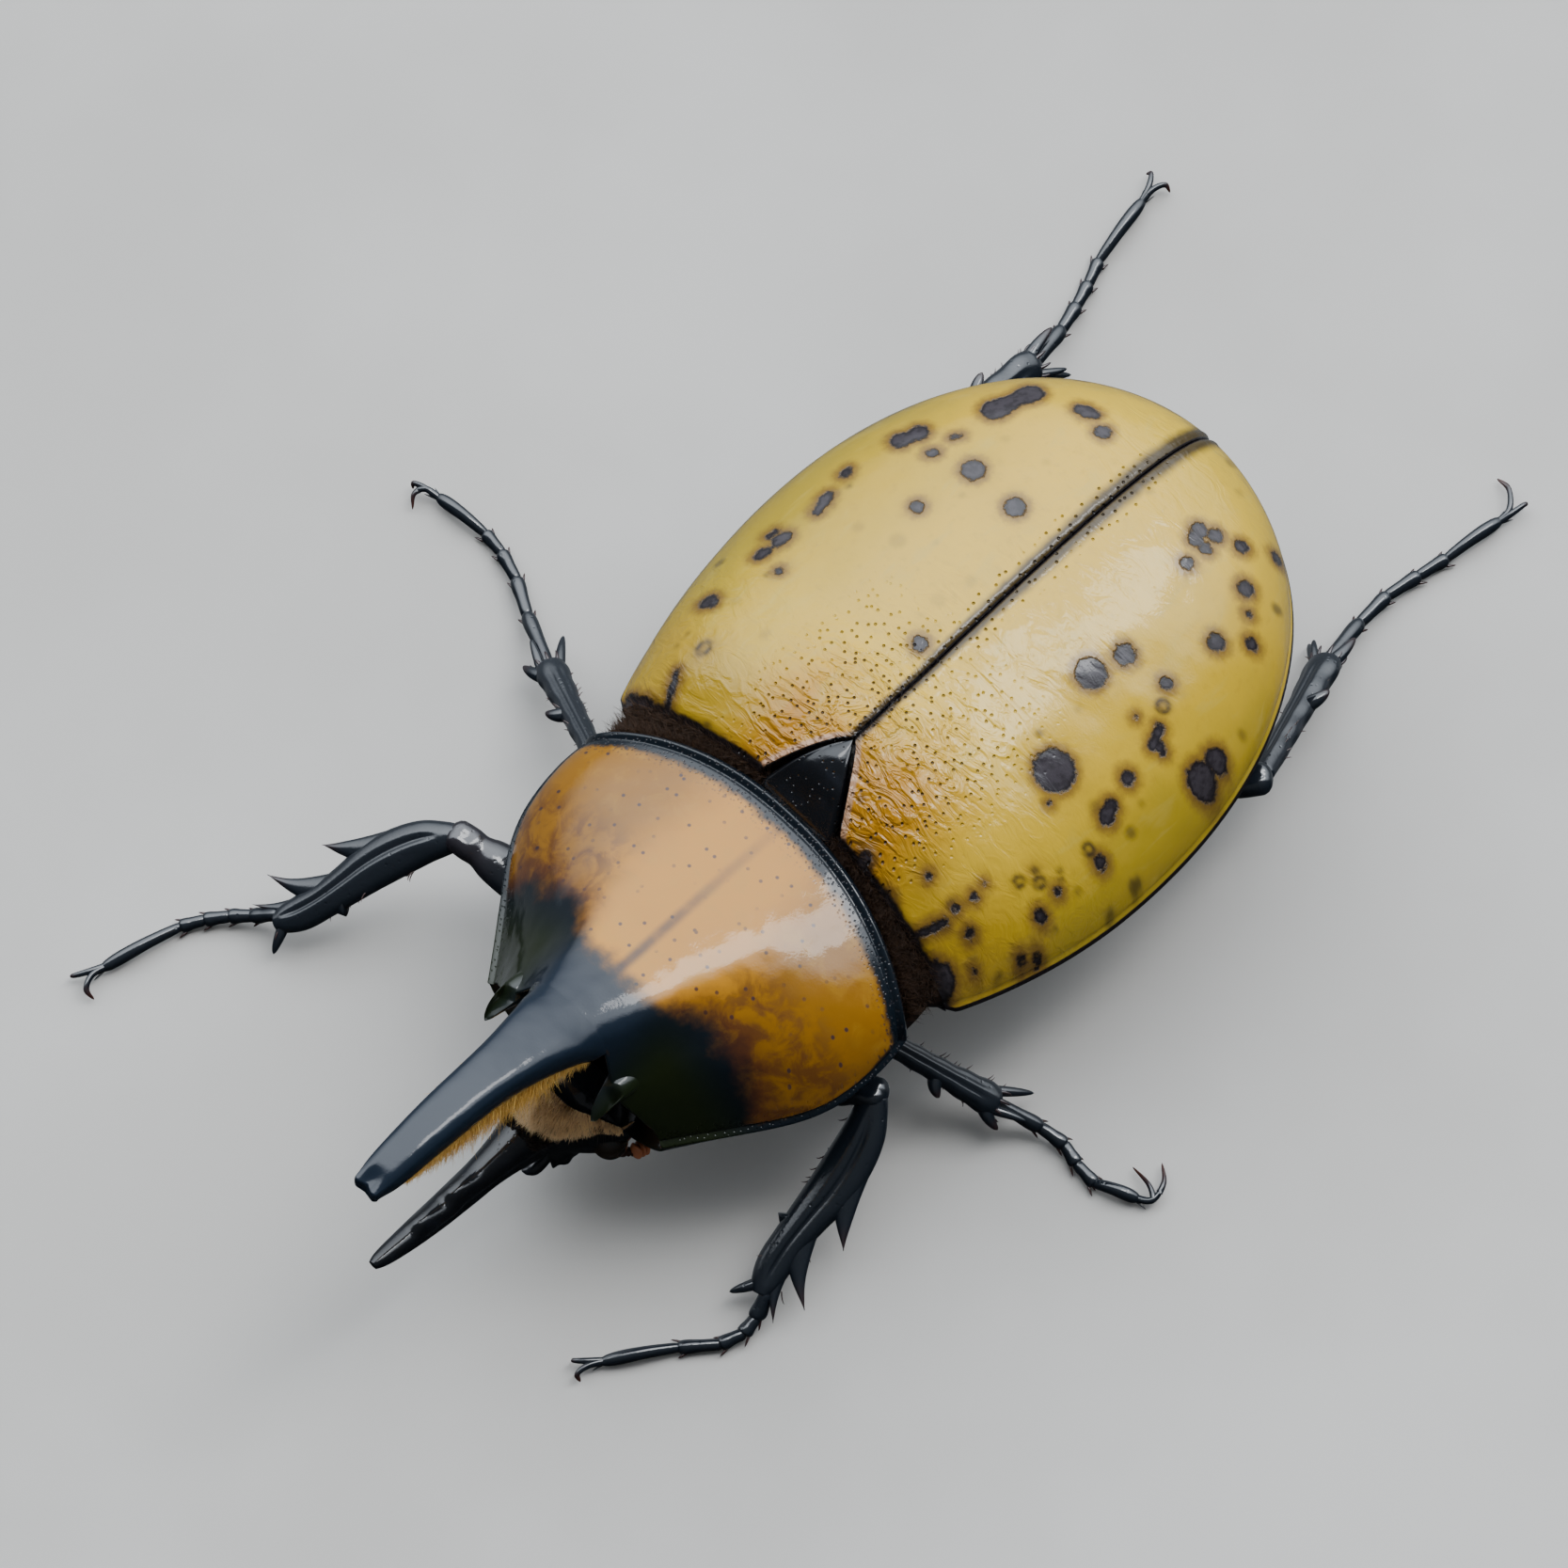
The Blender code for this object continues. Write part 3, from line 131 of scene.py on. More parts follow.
LEFT_SPOTS = (
    (4.35, 22.3, 0.5, 1.0), (5.1, 22.85, 0.5, 1.0), (5.3, 21.8, 0.46, 1.0), (4.6, 21.75, 0.42, 1.0),
    (5.3, 20.3, 0.46, 0.85), (6.3, 23.5, 6.4, 23.8, 0.44, 1.0), (8.1, 21.7, 8.2, 22.3, 0.44, 1.0),
    (9.2, 21.2, 0.25, 1.0), (10.4, 20.2, 0.42, 1.0), (9.3, 18.3, 9.3, 18.5, 0.48, 0.9),
    (6.7, 13.7, 6.7, 14.0, 0.6, 1.0), (6.2, 11.8, 0.92, 1.0), (9.2, 14.6, 0.42, 0.9),
    (10.5, 12.8, 11.1, 11.5, 0.3, 1.0), (11.1, 12.0, 11.7, 11.9, 0.3, 1.0), (9.4, 12.0, 0.14, 0.8),
    (7.1, 9.9, 0.2, 0.3), (6.6, 7.4, 0.3, 0.7), (8.5, 6.6, 1.06, 1.0), (9.5, 5.2, 0.16, 1.0),
    (11.2, 9.6, 11.4, 9.2, 0.42, 1.0), (11.6, 8.0, 12.0, 6.9, 0.42, 1.0), (11.1, 7.0, 0.35, 0.35),
    (13.8, 12.6, 13.6, 13.2, 0.95, 1.0), (13.5, 14.2, 13.4, 14.5, 0.62, 1.0), (13.3, 16.5, 0.25, 0.5),
    (12.6, 9.2, 0.25, 0.4), (13.2, 7.6, 13.2, 7.9, 0.3, 0.6), (13.2, 5.4, 0.36, 1.0),
    (11.4, 2.2, 0.32, 0.7), (12.2, 3.3, 0.2, 0.7), (12.5, 3.1, 0.18, 0.7),
    (12.8, 2.4, 12.8, 2.6, 0.24, 0.8), (13.4, 3.4, 13.4, 3.6, 0.22, 0.5), (13.0, 1.0, 0.4, 1.0),
    (13.8, 1.3, 13.8, 1.4, 0.15, 0.7), (14.9, 6.2, 14.9, 6.9, 0.3, 0.7),
    (15.0, 4.3, 14.9, 4.8, 0.25, 0.6), (14.0, -0.4, 14.0, 0.0, 0.25, 0.8),
    (13.6, -1.2, 13.6, -0.8, 0.22, 0.8), (13.3, -2.7, 13.3, -2.2, 0.14, 0.7), (12.4, -3.5, 0.18, 1.0),
    (11.2, -2.6, 0.3, 1.0), (10.2, -1.3, 0.3, 0.95), (9.9, -2.4, 0.25, 0.95), (9.5, -2.4, 0.2, 0.6),
    (7.8, -2.3, 0.26, 0.9), (10.1, -0.4, 0.14, 0.8), (4.6, -3.9, 0.38, 1.0), (5.1, -3.9, 0.22, 0.6),
    (2.5, -2.0, 0.28, 0.6), (6.5, -4.3, 7.1, -4.6, 0.34, 0.85), (8.9, -5.1, 10.0, -3.1, 0.22, 0.9),
    (10.5, -5.1, 12.0, -4.9, 0.62, 1.0), (9.6, 22.9, 9.8, 23.3, 0.3, 0.7), (0.8, 21.9, 0.35, 0.35),
    (0.6, 14.6, 0.3, 0.3), (3.8, 26.2, 0.3, 0.25), (1.9, 27.5, 2.2, 27.4, 0.3, 0.4),
    (7.4, 25.5, 7.8, 25.2, 0.35, 0.9),
)
# Rings, dark round a pale middle, and soft brown halos: x, y, radius
RING_SPOTS = (
    (-10.0, -1.3, 0.34), (9.9, 13.6, 0.32), (12.4, 5.3, 0.26), (11.2, 1.1, 0.24), (11.9, 2.0, 0.25),
)
HALOS = (
    (-7.2, 12.3, 0.8), (-6.6, 16.0, 1.0), (-10.0, -1.3, 0.75), (5.3, 20.3, 0.85), (9.2, 14.6, 0.85),
    (9.4, 12.0, 0.5), (9.5, 5.2, 0.55), (7.8, -2.3, 0.75), (10.1, -0.4, 0.5), (11.2, -2.6, 0.6),
    (11.4, 2.2, 0.6), (9.9, 13.6, 0.6), (-10.2, 4.7, 0.7), (10.1, -1.6, 0.7), (8.5, 6.5, 1.5),
    (6.2, 11.8, 1.35), (-3.3, 15.8, 0.95), (-1.3, 6.4, 0.9),
)
FAR = 9.0
DARK_SPOT = 0.75
PALE_SPOT_EDGE = (0.16, -0.22)
RING_DARKNESS, RING_WIDTH = 0.85, 0.16
SPOT_TRIM, SPOT_TRIM_LIMIT = 0.65, 0.4
SPOT_SWELLING, SPOT_WAVES, SPOT_PHASE = 0.14, 9.0, 5.0

# Prothorax with its horn
SHIELD_TOP_COLUMNS, SHIELD_LOW_COLUMNS = 220, 60
NECK_Y = -4.5
NECK_SWEEP = 2.9
NECK_SWEEP_HALF_WIDTH = 10.8
NECK_SWEEP_POWER = 2.2
NECK_BEND = 6.0
FRONT_Y = -21.1
SHIELD_HALF_WIDTH = ((-21.1, 6.7), (-17.9, 9.0), (-15.2, 10.9), (-13.0, 11.8), (-10.0, 12.1), (-7.0, 11.7),
                     (-4.5, 11.2))
SHIELD_MARGIN_Z = ((-21.1, 11.0), (-17.9, 11.3), (-15.2, 11.9), (-10.0, 12.7), (-4.5, 13.2))
SHIELD_CROWN_Z = ((-21.1, 21.2), (-18.5, 20.2), (-16.3, 19.6), (-13.0, 19.15), (-10.0, 18.7), (-6.8, 18.1),
                  (-4.5, 17.8))
SHIELD_DOME_POWER = 2.3
SHIELD_FRONT_PROFILE = ((0.0, 1.0), (0.2, 0.97), (0.33, 0.91), (0.42, 0.80), (0.52, 0.665), (0.62, 0.55),
                        (0.74, 0.40), (0.87, 0.2), (1.0, 0.0))
HOLLOW_START_Y = -9.0
STERNUM_DROP = ((-21.1, 5.4), (-16.0, 7.1), (-12.0, 7.9), (-8.0, 7.9), (-4.5, 7.4))
STERNUM_POWER = ((-21.1, 1.8), (-16.0, 1.3), (-12.0, 1.1), (-4.5, 1.0))
SHIELD_TOOTH = {"root": (3.5, -20.3, 15.6), "tip": (4.0, -23.9, 16.1), "bow": (0.1, 0.0, 1.0)}
TOOTH_WIDTHS = ((0.0, 1.9), (0.3, 1.7), (0.55, 1.25), (0.78, 0.9), (0.93, 0.5), (1.0, 0.12))
TOOTH_TILT = 0.7
TOOTH_HOLLOW = 0.1
TOOTH_RINGS = 48
TOOTH_RIM = (0.94, 0.78)
TOOTH_HOLLOW_START = (0.46, 0.62)
TOOTH_HOLLOW_END = (1.0, 0.94)
HORN_STATIONS = ((-21.4, 2.62, 21.25, 4.0), (-22.4, 2.35, 21.7, 3.75), (-24.0, 1.95, 22.4, 3.4),
                 (-26.0, 1.6, 23.15, 3.1), (-28.0, 1.42, 23.75, 2.9), (-30.0, 1.34, 24.1, 2.75),
                 (-32.0, 1.24, 24.25, 2.6), (-34.0, 1.12, 24.2, 2.35), (-35.3, 1.0, 24.1, 2.0),
                 (-36.5, 0.84, 24.0, 1.5))
HORN_START_Y = -22.9
HORN_POWER = 2.35
HORN_TOP_POWER = 3.0
HORN_FLAT_POWER = 4.0
HORN_CORNER = 0.5
HORN_NOTCH = 0.45
HORN_EDGE_TURN = 0.95
HORN_EDGE_HEIGHT = 0.05
HORN_ROOT_HALF_WIDTH = 2.75
HORN_WRAP = 0.35
MARGIN_REACH = 0.9
LIP = ((-0.10, 0.992), (-0.15, 0.975), (-0.10, 0.955), (0.12, 0.94), (0.8, 0.90), (1.8, 0.84), (2.8, 0.72),
       (3.4, 0.50), (3.6, 0.15))
LIP_SHADE = (0.0, 0.0, 0.0, 0.5)
CAVITY_CENTRE_Z = 14.5
# Bead and groove along the prothorax's margins: height, distance from the edge and width
SHIELD_BEAD = (0.2, 0.26, 0.2)
SHIELD_GROOVE = (-0.1, 0.62, 0.12)
UNDER_BEAD = (0.12, 0.0, 0.3)
UNDER_STEP = 0.35
# Its front margin reaches forward beside the horn: x and width, from y, and above z
MARGIN_PLACE = (4.2, 1.3)
MARGIN_START_Y = -18.0
MARGIN_Z = (12.0, 13.5)
# The rows that turn its rear in: share of the height and width, and how far ahead
SHIELD_REAR = ((0.3, 0.5), (0.55, 0.7), (0.8, 0.75), (0.93, 0.5), (0.985, 0.12))
SHIELD_REAR_Z = 13.0
SHIELD_CROWD = 0.7
HORN_ROOT_Z = 16.0
HORN_ROOT_SLOPE = -0.42
HORN_LOWER_POINTS = 60
HORN_TIP_Y = -36.5
HORN_TIP_ROUND = 0.16
HORN_TIP_SHARES = (0.92, 0.8, 0.62, 0.4, 0.2)
HORN_SMOOTH_ROWS = (1, 90)
HORN_SMOOTH_PASSES = 24
HORN_BACK = (0.0, 0.8, 1.6, 2.6)

# Head with its horn: y, half width, centre z, half height
HEAD_STATIONS = ((-17.6, 3.3, 8.7, 2.2), (-20.4, 3.9, 8.4, 2.5), (-21.4, 4.3, 8.3, 2.7),
                 (-22.3, 4.2, 8.25, 2.75), (-23.2, 3.5, 8.0, 2.65), (-24.0, 2.6, 7.85, 2.4),
                 (-24.8, 1.85, 7.8, 2.1), (-26.0, 1.4, 7.8, 1.65), (-28.0, 1.04, 8.05, 1.25),
                 (-30.0, 0.92, 8.3, 1.06), (-32.0, 0.83, 8.7, 0.95), (-34.0, 0.7, 9.3, 0.8),
                 (-35.6, 0.54, 9.9, 0.6), (-36.3, 0.4, 10.2, 0.42), (-36.75, 0.2, 10.35, 0.2))
HEAD_HORN_TEETH = ((-30.9, 0.42), (-33.4, 0.36))
HEAD_SPAN = (-20.4, -36.6)
STEP_RISE = (2.4, 0.5)
STEP_END = (-0.6, 0.3)
CLYPEUS_SPAN = (-21.6, -24.6)
PALP_WIDTH, PALP_BEADING = 0.62, 0.12
MANDIBLE_WIDTHS = ((0.0, 0.9), (0.4, 0.85), (0.75, 0.55), (1.0, 0.12))
MANDIBLE_FLATNESS = 0.85
ANTENNA_WIDTHS = ((0.0, 0.65), (0.2, 0.8), (0.45, 0.5), (1.0, 0.62))
ANTENNA_BEADS, ANTENNA_BEADING = 9, 0.16
CLUB_LEAVES = (-0.24, 0.0, 0.24)
CLUB_WIDTH, CLUB_THINNESS, CLUB_BREADTH = 0.42, 0.6, 2.1
CLYPEUS_STATIONS = ((-22.0, 2.6, 5.9, 1.2), (-23.4, 2.1, 4.8, 0.85), (-24.6, 1.5, 4.2, 0.6))
EYE_RADIUS = 1.0
EYE_PLACE = (3.6, -22.38, 8.04)
PALP_PATH = ((1.3, -22.4, 5.3), (1.6, -23.2, 4.2), (1.5, -23.9, 3.7), (1.1, -24.5, 3.5))
MANDIBLE_PATH = ((0.75, -24.5, 4.2), (0.8, -25.4, 4.1), (0.65, -25.8, 4.0), (0.4, -26.1, 4.0))
ANTENNA_PATH = ((3.6, -22.0, 6.7), (4.0, -21.95, 6.3), (4.35, -21.6, 6.1), (4.6, -21.3, 6.1),
                (4.7, -21.1, 6.3))
CLUB_PATH = ((4.65, -21.4, 6.0), (4.7, -21.3, 6.2), (4.7, -21.2, 6.5), (4.65, -21.1, 6.8), (4.6, -21.1, 7.0))

# Brush under the thoracic horn: place and length of its hair
BRUSH_LENGTHS = ((-34.2, 0.4), (-31.0, 1.2), (-28.0, 1.6), (-25.8, 1.65), (-24.6, 1.45), (-23.6, 0.95),
                 (-22.0, 0.6))
BRUSH_COUNT, BRUSH_START_Y, BRUSH_RUN = 12000, -22.0, 12.2
BRUSH_SPREAD = 0.36
BRUSH_SINK = 0.96
# The way that the brush's hair points, aside, ahead and down, how loose it is, and how it bends
BRUSH_WAY, BRUSH_LOOSE = (0.25, -0.25, -1.0), (0.1, 0.12)
BRUSH_BEND, BRUSH_BEND_LOOSE = (0.0, -0.25, 0.1), 0.15

# Velvet face between the horn and the head: places against the distance from the middle
FACE_HALF_WIDTH = 4.05
FACE_TOP_Y = ((0.0, -24.0), (0.7, -23.9), (1.5, -23.3), (2.6, -22.7), (4.4, -21.6))
FACE_TOP_Z = ((0.0, 16.4), (0.7, 15.0), (1.5, 11.9), (2.6, 11.2), (4.4, 9.9))
FACE_LOW_Y = ((0.0, -25.0), (0.64, -24.75), (1.78, -24.1), (2.84, -23.05), (4.4, -21.5))
FACE_LOW_Z = ((0.0, 9.85), (0.64, 9.8), (1.78, 9.55), (2.84, 9.65), (4.4, 9.8))
FACE_BULGE = (0.0, -0.22, 0.16)
FACE_BEHIND = (0.0, 0.3, -2.6)
FACE_BELOW = (0.0, 1.0, -0.6)
FACE_HAIR_COUNT = 15000
# The velvet's hair: its length, what is added at the top, how much shorter it is at the sides, its bend
FACE_LENGTH, FACE_LENGTH_TOP, FACE_SHORTER = 0.5, 0.35, 0.72
FACE_SIDE_RUN = (0.35, 0.85)
FACE_BEND, FACE_BEND_LOOSE, FACE_LOOSE = (0.0, -0.05, -0.3), 0.12, 0.2
LOCK_BEND, LOCK_TONE, TONE_LOOSE, FACE_TONE = 0.35, 0.45, 0.35, 0.62
FRINGE_COUNT = 3200
# Shares of the fringe under the thoracic horn, strewn through the velvet and on the head's horn
FRINGE_UNDER, FRINGE_STREWN = 0.22, (0.52, 0.62)

# Cleft between the prothorax and the wing cases
CLEFT_HALF_WIDTH = 11.3
CLEFT_DEPTH = 0.75
CLEFT_SAG = 0.5
CLEFT_SHIELD_HALF_WIDTH = 11.4
CLEFT_HAIR_COUNT = 15000
CLEFT_SKIN_DROP = 0.12
CLEFT_SKIN_SKIRT = 3.5

# Every hair: width, how much thinner it gets to its tip, and the size of its patch of the map
HAIR_WIDTHS = {"brush": 0.05, "face": 0.05, "fringe": 0.04, "cleft": 0.045}
HAIR_TAPER, HAIR_TAPER_POWER = 0.88, 1.4
HAIR_PATCH = 0.0015

# Hind body
BODY_INSET = 1.45
NECK_RISE = 0.96
# The rows that turn its front in: share of the height and width, and how far ahead
NECK_ROWS = ((0.55, 3.4), (0.75, 2.6), (0.9, 1.5), (0.97, 0.6))
NECK_Z = 11.3
BELLY_DROP = ((-5.0, 6.1), (-3.0, 6.8), (2.0, 7.2), (12.0, 7.0), (20.0, 6.6), (27.0, 5.5))
BELLY_POWER = ((-5.0, 1.1), (4.0, 1.15), (13.0, 1.2), (20.0, 1.6), (27.0, 2.0))
BELLY_INSET_RUN = (-9.0, 2.0)
BELLY_PLAN_POWER = 2.4
WAIST_Y = 9.0
STERNITE_COUNT = 6
STERNITE_STEP = 0.3
STERNITE_EDGE = (0.9, 1.0)
STERNITE_NOTCH = 0.35

# Legs: joints from the hip outwards, then the toe joints and the claw tips
LEGS = {
    "front_left": {
        "hip": (4.0, -13.6, 5.4), "knee": (11.9, -10.4, 8.0), "ankle": (14.4, -21.4, 1.9),
        "toes": ((14.7, -22.4, 0.95), (14.8, -23.5, 0.7), (14.3, -24.8, 0.55), (12.8, -26.5, 0.47),
                 (10.4, -30.0, 0.5)),
        "claws": ((9.2, -30.9, 0.3), (10.3, -31.6, 0.3)),
    },
    "front_right": {
        "hip": (-4.0, -13.6, 5.4), "knee": (-14.6, -15.8, 8.0), "ankle": (-20.3, -24.9, 1.9),
        "toes": ((-21.4, -25.5, 0.95), (-22.4, -26.4, 0.7), (-23.3, -27.5, 0.55), (-24.0, -28.7, 0.47),
                 (-25.3, -33.4, 0.5)),
        "claws": ((-24.4, -35.0, 0.3), (-26.3, -34.9, 0.3)),
    },
    "middle_left": {
        "hip": (3.8, -1.6, 4.6), "knee": (9.0, -8.3, 8.5), "ankle": (15.9, -4.8, 2.4),
        "toes": ((18.2, -3.8, 1.05), (19.8, -3.5, 0.7), (21.0, -3.8, 0.55), (22.5, -3.9, 0.47),
                 (24.8, -2.9, 0.5)),
        "claws": ((24.3, -0.4, 0.3), (23.3, -1.7, 0.3)),
    },
    "middle_right": {
        "hip": (-3.8, -1.6, 4.6), "knee": (-11.6, -7.7, 8.5), "ankle": (-19.9, -3.9, 2.4),
        "toes": ((-23.2, -2.3, 1.05), (-25.3, -1.1, 0.7), (-27.1, -0.5, 0.55), (-28.6, -0.3, 0.47),
                 (-32.1, -0.6, 0.5)),
        "claws": ((-32.7, -2.1, 0.3), (-33.6, -1.2, 0.3)),
    },
    "hind_left": {
        "hip": (4.0, 6.8, 4.0), "knee": (14.3, 17.4, 7.9), "ankle": (11.0, 26.9, 2.4),
        "toes": ((10.5, 30.2, 1.05), (10.4, 32.6, 0.7), (10.8, 34.8, 0.55), (11.2, 36.7, 0.47),
                 (11.8, 40.5, 0.5)),
        "claws": ((9.9, 42.4, 0.3), (12.2, 42.3, 0.3)),
    },
    "hind_right": {
        "hip": (-4.0, 6.8, 4.0), "knee": (-13.3, 16.4, 6.8), "ankle": (-13.2, 28.6, 2.2),
        "toes": ((-13.9, 31.4, 1.05), (-14.4, 33.2, 0.7), (-14.9, 34.7, 0.55), (-15.5, 36.2, 0.47),
                 (-16.3, 40.7, 0.5)),
        "claws": ((-15.6, 42.3, 0.3), (-17.4, 42.2, 0.3)),
    },
}
HIP_RADIUS = 1.8
HIP_SLEEVE = 0.08
HIP_INWARD = 0.55
HIP_RISE = 4.0
HIP_CONE = (2.9, 4.0, 2.7, 3.1)
THORN_POWER = 1.6
THORN_TIP = 0.004
THORN_SIDE = (0.3, 0.4, 0.9)
SHIN_TEETH = {
    "middle": ((0.55, 0.62, 1.35, 0.34), (0.9, 1.06, 1.3, 0.34)),
    "hind": ((0.6, 0.68, 1.6, 0.36), (0.93, 1.14, 1.3, 0.34)),
}
SHIN_SPURS = {
    "front": ((0.9, 1.9, -0.1, 0.36),),
    "middle": ((1.9, 1.5, 0.2, 0.32), (1.5, -0.4, 1.0, 0.3)),
    "hind": ((2.1, 2.0, 0.2, 0.32), (1.5, 1.1, 0.7, 0.3)),
}
# Front shins: share of the length, inner and outer margin, thickness
FRONT_SHIN = ((0.0, -0.62, 0.75, 1.4), (0.06, -0.72, 1.15, 1.5), (0.18, -0.72, 1.75, 1.55),
              (0.32, -0.82, 1.92, 1.55), (0.46, -0.95, 1.72, 1.5), (0.6, -1.12, 1.2, 1.45),
              (0.74, -1.3, 0.75, 1.4), (0.86, -1.42, 0.6, 1.3), (0.95, -1.2, 0.45, 1.2),
              (1.0, -0.85, 0.25, 1.0))
# Hooks on the front shins: (share, outward) at root, two points on the way and tip, then width and thickness
FRONT_HOOKS = (
    (((0.27, 0.45), (0.43, 1.2), (0.56, 1.95), (0.655, 2.62)), 1.9, 0.9),
    (((0.62, -0.4), (0.76, 0.4), (0.87, 1.25), (0.965, 2.3)), 1.75, 0.85),
    (((0.82, -0.35), (0.92, 0.05), (1.0, 0.5), (1.085, 1.1)), 1.15, 0.7),
)
SHIN_OUTWARD = {"front": (1.0, 0.35, 0.15), "middle": (0.0, -1.0, 0.3), "hind": (0.6, 0.0, 0.8)}
THIGH_SIZES = {
    "front": ((0.0, 2.2, 2.0), (0.3, 2.9, 2.3), (0.65, 2.7, 2.1), (0.88, 2.1, 1.8), (1.0, 1.9, 1.7)),
    "middle": ((0.0, 2.0, 1.8), (0.3, 2.7, 1.9), (0.65, 2.5, 1.8), (0.88, 1.9, 1.7), (1.0, 1.8, 1.6)),
    "hind": ((0.0, 2.2, 1.8), (0.3, 3.0, 2.0), (0.65, 2.7, 1.9), (0.88, 2.1, 1.8), (1.0, 1.9, 1.7)),
}
SHIN_SIZES = {
    "front": ((0.0, 1.5, 1.4), (0.15, 1.9, 1.5), (0.5, 2.3, 1.5), (0.8, 2.4, 1.4), (1.0, 1.9, 1.2)),
    "middle": ((0.0, 1.2, 1.2), (0.2, 1.3, 1.25), (0.6, 1.5, 1.3), (0.9, 1.9, 1.5), (1.0, 1.8, 1.4)),
    "hind": ((0.0, 1.3, 1.2), (0.2, 1.4, 1.3), (0.6, 1.7, 1.4), (0.9, 2.3, 1.6), (1.0, 2.1, 1.5)),
}
# The thigh's end past the knee: distance and width
KNEE_CAP = ((0.22, 1.85), (0.44, 1.6), (0.62, 1.1), (0.72, 0.45))
KNEE_CAP_FLATNESS = 0.9
KNEE_WAIST = (0.12, 0.86, 0.05)
THIGH_START = -0.35
KNEE_HOLLOW = (0.16, 0.0, 0.35)
KNEE_HOLLOW_RUN = ((0.84, 0.9), (1.02, 0.97))
THIGH_BROWN = {"front_right": 0.1}
# Furrows and keels along the shins: height, place across from -1 to 1 and width; and the share that they run
FRONT_FURROW, FRONT_KEEL = (-0.26, 0.22, 0.13), (0.06, -0.12, 0.2)
FRONT_FURROW_RUN = ((0.06, 0.2), (0.98, 0.86))
SLIM_FURROWS = ((-0.14, 0.25, 0.16), (-0.1, -0.45, 0.14), (0.05, 0.62, 0.14))
SLIM_FURROW_RUN = ((0.06, 0.2), (0.95, 0.8))
SLIM_END_SIZE = 0.35
SLIM_END_RUN = ((-0.02, 0.05), (1.03, 0.96))
SLIM_WAVE, SLIM_WAVES = 0.035, 37.0
HOOK_BROAD, HOOK_END, HOOK_POWER = 1.5, 0.02, 1.15
TOOTH_ROOT, TOOTH_BROAD = 0.3, 1.3
SPUR_ROOT, SPUR_ASIDE, SPUR_FLOOR = 0.6, 0.5, 0.35
END_SPINES = 9
END_SPINE_LENGTH, END_SPINE_RADIUS, END_SPINE_SINK = 0.85, 0.12, 0.5
END_SPINE_RING = 0.4
BRISTLE_COUNTS = {"front": 16, "middle": 30, "hind": 30}
BRISTLE_RADIUS = 0.045
BRISTLE_RUN, BRISTLE_LENGTH = (0.12, 0.97), (0.45, 0.95)
BRISTLE_WAYS, BRISTLE_TILT, BRISTLE_LEAN = (-1.0, -1.0, 0.6), (-0.7, 0.4), 0.9
BRISTLE_SINK = 0.36
TOE_SLIMNESS = 0.74
TOE_FLATNESS = 0.92
TOE_GIRTH, TOE_THINNING = 1.16, 0.05
TOE_BOW = {"last": 0.3, "other": 0.06}
TOE_OVERLAP = 0.03
TOE_SPINES = (-1.0, -0.35, 0.35, 1.0)
CLAW_WIDTH = 0.5
CLAW_POWER, CLAW_TIP, CLAW_FLATNESS = 1.7, 0.003, 0.8
CLAW_ROOT, CLAW_ONWARD, CLAW_SPREAD = 0.45, 0.75, 0.12
CLAW_RISE, CLAW_CURVE, CLAW_CROWN = 0.28, 0.4, 0.2
TOE_SIZES = {
    "other": ((0.0, 0.34), (0.1, 0.42), (0.5, 0.46), (0.8, 0.53), (0.94, 0.48), (1.0, 0.32)),
    "last": ((0.0, 0.3), (0.1, 0.4), (0.45, 0.49), (0.75, 0.53), (0.92, 0.44), (1.0, 0.25)),
}

# Camera of the photograph: where it stands round the beetle and what a known point's pixel is
PHOTO_SIZE = 1667
CAMERA_AZIMUTH = 44.5
CAMERA_ELEVATION = 70.0
CAMERA_DISTANCE = 400.0
PIXELS_PER_MM = 20.0
AIM_POINT = (0.0, 0.0, 21.0)
AIM_PIXEL = (908.0, 783.0)
SENSOR = 36.0

# Soft sky: bright on the side away from the camera, dim on the camera's side
SKY_EDGE = (-0.02, 0.26)
SKY_LEVELS = (0.12, 3.4)
GROUND_EDGE = (-0.04, 0.78)
GROUND_LEVEL = 0.05
SKY_COLOUR = (0.93, 1.0, 1.08, 1.0)
SKY_TILT = 0.12
# A long soft panel above and behind the beetle: place, size, power and the point it is turned to
PANEL_PLACE = (60.0, 270.0, 590.0)
PANEL_SIZE = (140.0, 520.0)
PANEL_POWER = 1.5
PANEL_AIM = (0.0, -2.0, 12.0)
FLOOR_REACH = 1.6


def tabled(table, value):
    """A smooth curve through the table's points, held level past its ends; value may be an array."""
    xs, ys = (np.array(column, float) for column in zip(*table))
    slopes = np.empty_like(ys)
    slopes[1:-1] = (ys[2:] - ys[:-2]) / (xs[2:] - xs[:-2])
    slopes[0] = (ys[1] - ys[0]) / (xs[1] - xs[0])
    slopes[-1] = (ys[-1] - ys[-2]) / (xs[-1] - xs[-2])
    value = np.clip(value, xs[0], xs[-1])
    i = np.clip(np.searchsorted(xs, value, side="right") - 1, 0, len(xs) - 2)
    width = xs[i + 1] - xs[i]
    t = (value - xs[i]) / width
    return ((2 * t**3 - 3 * t**2 + 1) * ys[i] + (t**3 - 2 * t**2 + t) * width * slopes[i]
            + (3 * t**2 - 2 * t**3) * ys[i + 1] + (t**3 - t**2) * width * slopes[i + 1])


def columns_at(rows, value):
    """Smooth curves of the rows' later columns against their first one, all read at this value."""
    rows = sorted(rows)
    return [tabled([(row[0], row[index]) for row in rows], value) for index in range(1, len(rows[0]))]


def eased(start, end, value):
    """0 before start, 1 after end and an S-curve between; start may be the greater."""
    t = np.clip((value - start) / (end - start), 0.0, 1.0)
    return t * t * (3 - 2 * t)


